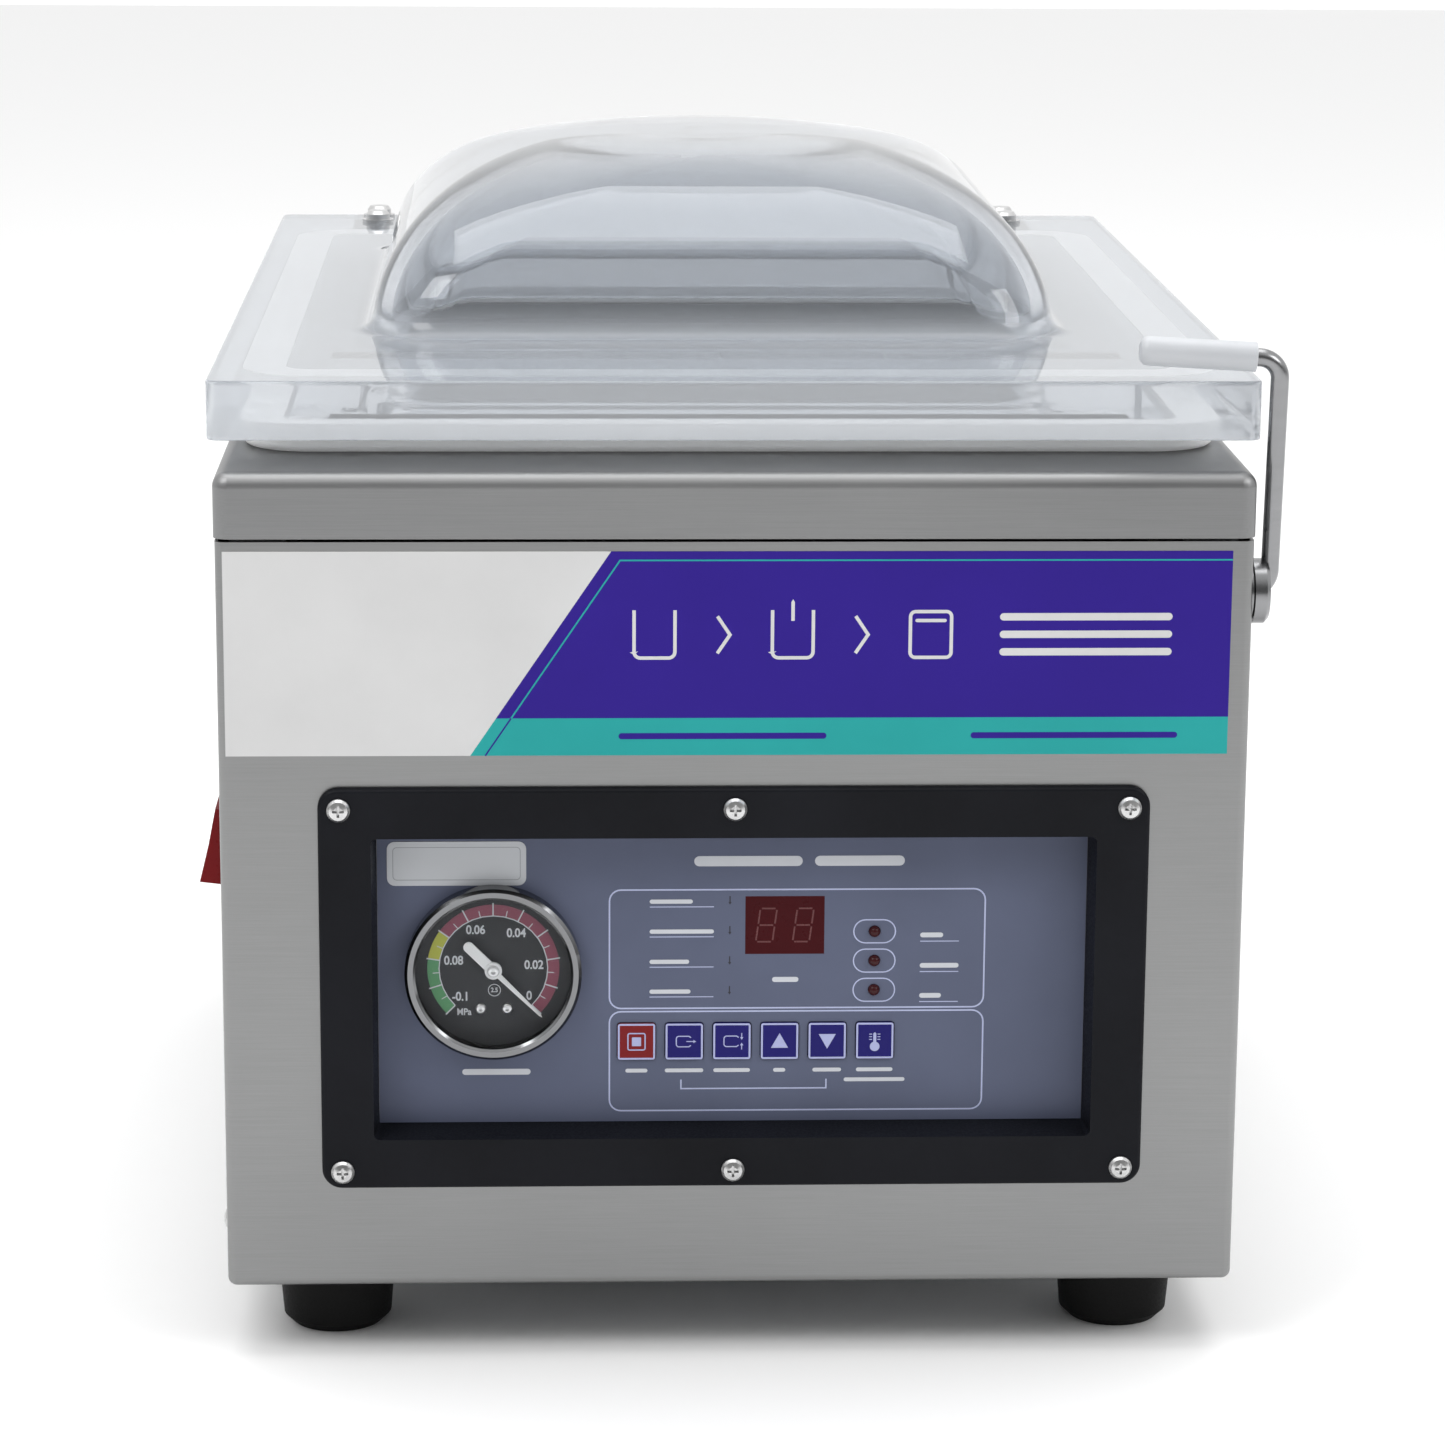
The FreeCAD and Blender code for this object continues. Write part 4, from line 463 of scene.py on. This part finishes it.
def printed(name, loops, face, surface, body="cabinet", depth=0.06):
    """Thin artwork from closed loops of (x, z) in millimetres; a loop inside another is a hole."""
    curve = bpy.data.curves.new(name, "CURVE")
    curve.dimensions = "2D"
    curve.fill_mode = "BOTH"
    for loop in loops:
        line = curve.splines.new("POLY")
        line.points.add(len(loop) - 1)
        line.use_cyclic_u = True
        for point, (x, z) in zip(line.points, loop):
            point.co = (x * MM, z * MM, 0, 1)
    press(name, curve, face, depth, surface, body)


def lettered(name, text, x, z, height, face, surface):
    """Plain characters on the dial, centred on a point, their height that of a capital."""
    curve = bpy.data.curves.new(name, "FONT")
    curve.body = text
    curve.align_x, curve.align_y = "CENTER", "CENTER"
    curve.size = height * MM / 0.7
    curve.offset = height * MM * 0.035
    piece = press(name, curve, face, 0.04, surface, "cabinet")
    narrow = Matrix.Diagonal((0.88, 1, 1, 1))
    piece.data.transform(Matrix.Translation((x * MM, 0, z * MM)) @ narrow)


def pouch():
    """An open bag lying on its side, its mouth to the right."""
    side = [(2.2, 1.3), (1.5, 1.8)]
    back = arc(-1.7, 0.9, 0.9, 90, 180, 6) + arc(-1.7, -0.9, 0.9, 180, 270, 6)
    return stroke(side + back + [(x, -z) for x, z in reversed(side)], 0.34)


def arrow(x, z, length, turn, width=0.3):
    """An arrow that ends at a point."""
    loop = [(-length, -width / 2), (-0.9, -width / 2), (-0.9, -0.55), (0, 0), (-0.9, 0.55),
            (-0.9, width / 2), (-length, width / 2)]
    spin = Matrix.Rotation(math.radians(turn), 2)
    return [(x + point.x, z + point.y) for point in (spin @ Vector(corner) for corner in loop)]


def key_icons():
    stop = ruled(-3, 3, -3, 3, 0.8, 0.4) + [rounded_outline(-1.5, 1.5, -1.5, 1.5, 0.3)]
    draw = [pouch(), arrow(3.9, 0, 3.2, 0)]
    seal = [pouch(), arrow(3.2, 0.5, 2.3, -90), arrow(3.2, -0.5, 2.3, 90)]
    up = [[(-2.8, -2.3), (2.8, -2.3), (0, 2.7)]]
    down = [[(-2.8, 2.3), (0, -2.7), (2.8, 2.3)]]
    stem = arc(0, -2, 1.6, 108, 432, 30) + [(0.5, 2.4), (0, 2.9), (-0.5, 2.4)]
    ticks = [bar(side * 1.35 - 0.5, side * 1.35 + 0.5, z - 0.15, z + 0.15)
             for side in (-1, 1) for z in (0.4, 1.3, 2.2)]
    return stop, draw, seal, up, down, [stem] + ticks


def print_keys():
    light = grained("key_print", (0.4, 0.43, 0.68), 0.4, 1500, 0.00001, 0.03)
    for step, icon in enumerate(key_icons(), 1):
        node = f"panel_key_{step}"
        centre, face = middle(node) / MM, low(node).y - PRINT_GAP
        border = ruled(-6.1, 6.1, -6.1, 6.1, 0.8, 0.62)
        printed(f"key_{step}_print", moved(border + icon, centre.x, centre.z), face, light, node,
                0.05)


def print_overlay():
    """Frame lines, row rules, caption bars and arrows on the membrane."""
    face = low("control_overlay").y - PRINT_GAP
    line = grained("line_print", (0.44, 0.48, 0.68), 0.4, 1500, 0.00001, 0.03)
    pale = grained("caption_print", (0.58, 0.6, 0.64), 0.4, 1500, 0.00001, 0.03)
    dark = grained("arrow_print", (0.012, 0.012, 0.02), 0.4, 1500, 0.00001, 0.03)
    rules = ruled(-40.3, 82.5, 115.9, 156.4, 4, 0.5) + ruled(-40.3, 82.5, 81, 115.3, 4, 0.5)
    rules += [loop for z in LAMPS for loop in ruled(39.3, 53.3, z - 4.1, z + 4.1, 4.05, 0.4)]
    rules += [bar(-27, -6.1, z - 0.15, z + 0.15) for z in ROWS]
    rules += [bar(61.2, 73.9, z - 0.15, z + 0.15) for z in LEVELS]
    rules.append(stroke([(-16.6, 91.8), (-16.6, 88.7), (31, 88.7), (31, 91.8)], 0.45))
    printed("panel_lines", rules, face, line)
    captions = [bar(-27, -27 + length, z + 1.1, z + 2.5)
                for z, length in zip(ROWS, (13.4, 12.9, 20.9, 14))]
    captions += [bar(61.2, 61.2 + length, z + 1.3, z + 2.9)
                 for z, length in zip(LEVELS, (7.1, 12.7, 7.5))]
    captions += [bar(x - half, x + half, 94.3, 95.6)
                 for x, half in zip(KEYS, (3.6, 6.3, 6, 2, 4.7, 6))]
    captions += [bar(KEYS[5] - 10, KEYS[5] + 10, 90.9, 92.2), bar(13, 21.6, 124.9, 126.6),
                 bar(-12.6, 22.6, 164, 167.4), bar(26.6, 55.8, 164, 167.4),
                 bar(-88.1, -65.8, 93.8, 95.8)]
    printed("panel_captions", captions, face, pale)
    printed("row_arrows", [arrow(-0.9, z + 0.7, 2.9, -90, 0.4) for z in ROWS], face, dark)


def print_sticker():
    """A blank round-cornered label above the gauge."""
    thick = 0.2
    face = low("control_overlay").y - thick * MM - OVER_PRINT
    white = grained("sticker_vinyl", (0.55, 0.57, 0.6), 0.35, 900, 0.00001, 0.03)
    grey = grained("sticker_rule", (0.3, 0.32, 0.35), 0.4, 900, 0.00001, 0.03)
    printed("gauge_sticker", [rounded_outline(-112, -67, 157.9, 172.6, 2.6)], face, white,
            depth=thick)
    printed("sticker_frame", ruled(-110.2, -68.8, 159.7, 170.8, 1.4, 0.25), face - OVER_PRINT,
            grey)


def print_window():
    """Two unlit seven-bar digits behind the tinted window."""
    face = low("display_window").y - OVER_PRINT
    dim = grained("digit_bars", (0.1, 0.012, 0.014), 0.3, 900, 0.00001, 0.05)
    lean, half, tall = 0.13, 2.7, 5.6
    across = [((-half + 0.5, z), (half - 0.5, z)) for z in (-tall, 0, tall)]
    upright = [((x, z + 0.5), (x, z + tall - 0.5)) for x in (-half, half) for z in (-tall, 0)]
    digit = [stroke([(x + lean * z, z) for x, z in ends], 0.55) for ends in across + upright]
    centre = middle("display_window") / MM
    for name, shift in (("left_digit", -6), ("right_digit", 6)):
        printed(name, moved(digit, centre.x + shift, centre.z), face, dim,
                depth=0.04)


def bag(closed):
    """An upright bag: its mouth open, or closed with a seal across below its rim."""
    if closed:
        return ruled(-7.1, 7.1, -8, 8, 2.2, 1.1) + [bar(-5, 5, 4, 5.1)]
    outline = [(-6.5, 8), (-6.5, -5.5)] + arc(-4.5, -5.5, 2, 180, 270, 6)
    outline += arc(4.5, -5.5, 2, 270, 360, 6) + [(6.5, 8)]
    return [stroke(outline, 1.1)]


def print_banner():
    """The vinyl banner: a white end, a violet field, a teal foot and thin trim lines."""
    vinyl = {"white": (0.62, 0.62, 0.62), "violet": (0.03, 0.013, 0.235),
             "teal": (0.024, 0.34, 0.33)}
    ink = {name: grained("vinyl_" + name, colour, 0.42, 1400, 0.00002, 0.03, Specular_IOR_Level=0.1)
           for name, colour in vinyl.items()}
    left, right, foot, band, top = -162.5, 158, 203.7, 215.9, 270
    line, inset, thick = top - 2.9, 4.8, 0.16

    def edge(z, shift=0):
        """Where the slanted edge between white and violet stands at a height."""
        return shift - 39.8 - (top - z) * 44.9 / 66.3

    face = low("front_panel").y - thick * MM
    fields = {"white": [(left, foot), (edge(foot), foot), (edge(top), top), (left, top)],
              "violet": [(edge(band), band), (right, band), (right, top), (edge(top), top)],
              "teal": [(edge(foot), foot), (right, foot), (right, band), (edge(band), band)]}
    for name, field in fields.items():
        printed("banner_" + name, [field], face, ink[name], depth=thick)
    trim = stroke([(edge(band, inset), band), (edge(line, inset), line), (right, line)], 0.5)
    printed("banner_trim", [trim], face - OVER_PRINT, ink["teal"])
    cross = stroke([(edge(foot, inset), foot), (edge(band, inset), band)], 0.5)
    notes = [bar(-37.4, 29.1, 209, 211), bar(75.3, 141.8, 209, 211)]
    printed("banner_notes", [cross] + notes, face - OVER_PRINT, ink["violet"])
    signs = moved(bag(False), -26, 243)
    signs += moved(bag(False) + [arrow(0, 11.5, 7, 90, 1.1)], 18, 243)
    signs += moved(bag(True), 62, 243)
    for x in (-6, 38):
        signs.append(stroke([(x, 249), (x + 4, 243), (x, 237)], 1.1))
    signs += [bar(84, 139.2, z, z + 2.4) for z in (247.5, 241.8, 236.1)]
    printed("banner_signs", signs, face - OVER_PRINT, ink["white"])


# ---- gauge ----------------------------------------------------------------------------

def sector(inner, outer, start, end):
    return arc(0, 0, outer, start, end, 24) + arc(0, 0, inner, end, start, 24)


def scale_angle(share):
    """The dial's angle for a share of its range: from lower left, over the top, to lower right."""
    return 225 - 270 * share


def print_dial():
    centre = middle("gauge_dial") / MM
    thick = 0.04
    face = low("gauge_dial").y - thick * MM
    inks = {"green": (0.1, 0.33, 0.14), "yellow": (0.5, 0.52, 0.06), "red": (0.27, 0.06, 0.1),
            "white": (0.62, 0.64, 0.66)}
    ink = {name: grained("dial_" + name, colour, 0.5, 1400, 0.00001, 0.03)
           for name, colour in inks.items()}
    for name, start, end in (("green", 0, 0.2), ("yellow", 0.2, 0.3), ("red", 0.3, 1)):
        band = sector(17.8, 21.5, scale_angle(start), scale_angle(end))
        printed("dial_band_" + name, moved([band], centre.x, centre.z), face, ink[name],
                depth=thick)
    marks = [sector(17.5, 17.85, 225, -45)]
    for step in range(21):
        turn = math.radians(scale_angle(step / 20))
        far, width = (22, 0.45) if step % 2 == 0 else (19.8, 0.3)
        ends = [(reach * math.cos(turn), reach * math.sin(turn)) for reach in (17.7, far)]
        marks.append(stroke(ends, width))
    for name, loops in (("dial_arc", marks[:1]), ("dial_ticks", marks[1:]),
                        ("dial_class", [disc(0.3, -7.4, 2.1), disc(0.3, -7.4, 1.85)])):
        printed(name, moved(loops, centre.x, centre.z), face - OVER_PRINT, ink["white"],
                depth=thick)
    figures = (("-0.1", -10.7, -9.6, 2.9), ("0.08", -12.9, 2.6, 2.9), ("0.06", -5.7, 12.9, 2.9),
               ("0.04", 7.5, 11.8, 2.9), ("0.02", 13.2, 1, 2.9), ("0", 11.6, -9.4, 2.9),
               ("MPa", -9.6, -14.8, 2.2), ("2.5", 0.3, -7.4, 1.5))
    for step, (text, x, z, height) in enumerate(figures):
        lettered(f"dial_figure_{step}", text, centre.x + x, centre.z + z, height,
                 face - OVER_PRINT, ink["white"])


def spun(name, profile, centre, surface, body, steps=40):
    """A small turned piece about a line through the centre that runs front to back."""
    turns = [2 * math.pi * step / steps for step in range(steps)]
    rings = [[centre + Vector((radius * math.cos(turn), depth, radius * math.sin(turn))) * MM
              for turn in turns] for radius, depth in profile]
    mesh = bmesh.new()
    ring_stack(mesh, rings)
    finish_mesh(name, mesh, surface, body)


def dress_gauge():
    print_dial()
    steel = brushed("gauge_screw_steel", (0.6, 0.6, 0.6), (300, 300, 300), 0.28)
    dial = middle("gauge_dial")
    dial.y = low("gauge_dial").y
    head = ((1.75, 0), (1.75, -0.35), (1.5, -0.75), (0.9, -0.95), (0.5, -0.7), (0.2, -0.6))
    for name, x in (("dial_screw_left", -4.2), ("dial_screw_right", 4.5)):
        spun(name, head, dial + Vector((x, 0, -13.6)) * MM, steel, "cabinet")
    cap = ((1.95, 0.1), (1.95, -0.25), (1.7, -0.5), (0.7, -0.62), (0.5, -0.4), (0.2, -0.35))
    hub = Vector((dial.x, low("gauge_needle").y, dial.z))
    spun("needle_cap", cap, hub, steel, "gauge_needle")


# ---- CAD node materials ---------------------------------------------------------------

def dress_cabinet():
    sheet = brushed("brushed_sheet", (0.25, 0.252, 0.252), (30, 30, 2600))
    dress(sheet, "front_panel", "left_panel", "right_panel", "rear_panel")
    dress(brushed("brushed_deck", (0.27, 0.272, 0.274), (30, 2600, 2600), 0.45), "deck")
    dress(brushed("chamber_sheet", (0.33, 0.34, 0.35), (40, 40, 40), 0.42), "chamber_tank")
    dress(grained("frame_paint", (0.3, 0.31, 0.32), 0.55, 900, 0.00003), "base_tray",
          "corner_posts")
    dress(brushed("hinge_steel", (0.5, 0.5, 0.5), (300, 300, 20), 0.38), "hinge_arms",
          "hinge_shaft", "spring_levers", "hinge_brackets", "lid_springs", "lift_rods")
    dress(grained("foot_rubber", (0.01, 0.01, 0.01), 0.62, 1500, 0.00006, 0.25,
                  Specular_IOR_Level=0.12), "feet")
    dress(brushed("zinc_plate", (0.6, 0.6, 0.61), (80, 80, 80), 0.3), "foot_bolts")
    dress(brushed("screw_steel", (0.58, 0.58, 0.58), (200, 200, 200), 0.3), "panel_screws",
          "bezel_screws", "lid_screws")


def dress_chamber():
    # The glow stands for the light that reaches the silicone through the clear lid.
    dress(grained("white_silicone", (0.92, 0.92, 0.91), 0.5, 700, 0.00003, 0.03,
                  Emission_Color=WHITE, Emission_Strength=0.12), "chamber_gasket", "counter_strip")
    dress(brushed("bar_aluminium", (0.7, 0.71, 0.72), (15, 600, 600), 0.34), "seal_bar",
          "counter_bar", "lift_cylinders")
    dress(brushed("wire_nichrome", (0.5, 0.47, 0.43), (20, 900, 900), 0.4), "heating_wire")
    dress(grained("glass_tape", (0.5, 0.36, 0.2), 0.5, 1100, 0.00005, 0.2), "seal_tape")


def dress_controls():
    dull = {"Specular_IOR_Level": 0.2}
    dress(grained("bezel_plastic", (0.006, 0.0065, 0.009), 0.45, 1300, 0.00005, 0.2,
                  Specular_IOR_Level=0.12), "control_bezel")
    dress(brushed("plate_aluminium", (0.12, 0.12, 0.125), (6, 6, 700)), "control_plate")
    dress(grained("overlay_film", (0.105, 0.12, 0.185), 0.42, 1600, 0.00001, 0.05, **dull),
          "control_overlay")
    dress(grained("display_tint", (0.05, 0.004, 0.006), 0.3, 200, 0.000005, 0.1,
                  Specular_IOR_Level=0.08), "display_window")
    dress(grained("lamp_lens", (0.045, 0.008, 0.01), 0.2, 500, 0.00001, 0.05, **dull),
          "status_lamps")
    keys = [f"panel_key_{step}" for step in range(2, 7)]
    dress(grained("key_film", (0.008, 0.005, 0.13), 0.4, 1600, 0.00001, 0.08, **dull), *keys)
    dress(grained("stop_film", (0.2, 0.008, 0.01), 0.4, 1600, 0.00001, 0.08, **dull),
          "panel_key_1")
    dress(grained("board_lacquer", (0.02, 0.16, 0.06), 0.35, 400, 0.00003), "control_board")
    dress(grained("gauge_black", (0.012, 0.012, 0.013), 0.22, 500, 0.00001), "gauge_case")
    dress(brushed("gauge_rim", (0.2, 0.203, 0.21), (90, 90, 90), 0.14), "gauge_ring")
    dress(plain("gauge_window", (0.97, 0.98, 0.99), 0.0, Transmission_Weight=1, IOR=1.15),
          "gauge_glass")
    dress(grained("dial_grey", (0.04, 0.042, 0.046), 0.5, 900, 0.00001, 0.06, **dull),
          "gauge_dial")
    dress(grained("needle_paint", (0.8, 0.8, 0.8), 0.4, 900, 0.00001, 0.03), "gauge_needle")


def dress_handles():
    dress(brushed("plated_rod", (0.27, 0.272, 0.278), (60, 60, 300), 0.26), "latch_rod",
          "latch_bush")
    dress(grained("grip_plastic", (0.5, 0.515, 0.54), 0.35, 500, 0.00002, 0.03), "latch_grip")
    dress(grained("rocker_plastic", (0.19, 0.008, 0.01), 0.3, 500, 0.00001, 0.08,
                  Specular_IOR_Level=0.1), "power_rocker")
    dress(grained("switch_plastic", (0.015, 0.015, 0.016), 0.4, 900, 0.00003), "switch_housing",
          "power_inlet", "lid_switch")


def dress_machinery():
    dress(grained("cast_paint", (0.2, 0.22, 0.25), 0.55, 260, 0.0003, 0.2), "pump_block",
          "motor_housing")
    dress(brushed("turned_steel", (0.42, 0.42, 0.43), (30, 400, 30)), "motor_rotor")
    dress(grained("fan_plastic", (0.03, 0.03, 0.03), 0.45, 600, 0.00003), "cooling_fan")
    dress(grained("mount_rubber", (0.03, 0.03, 0.03), 0.7, 900, 0.0001), "pump_mounts",
          "vacuum_hoses")
    dress(grained("filter_enamel", (0.1, 0.16, 0.3), 0.35, 300, 0.00005), "exhaust_filter")
    dress(grained("core_varnish", (0.22, 0.14, 0.06), 0.4, 400, 0.0001), "transformer")
    dress(brushed("valve_brass", (0.62, 0.45, 0.2), (90, 90, 90)), "valve_block")


make_camera()
make_world()
make_lights()
make_floor()
dress_cabinet()
dress_chamber()
dress_controls()
dress_handles()
dress_machinery()
make_lid()
print_keys()
print_overlay()
print_sticker()
print_window()
print_banner()
dress_gauge()
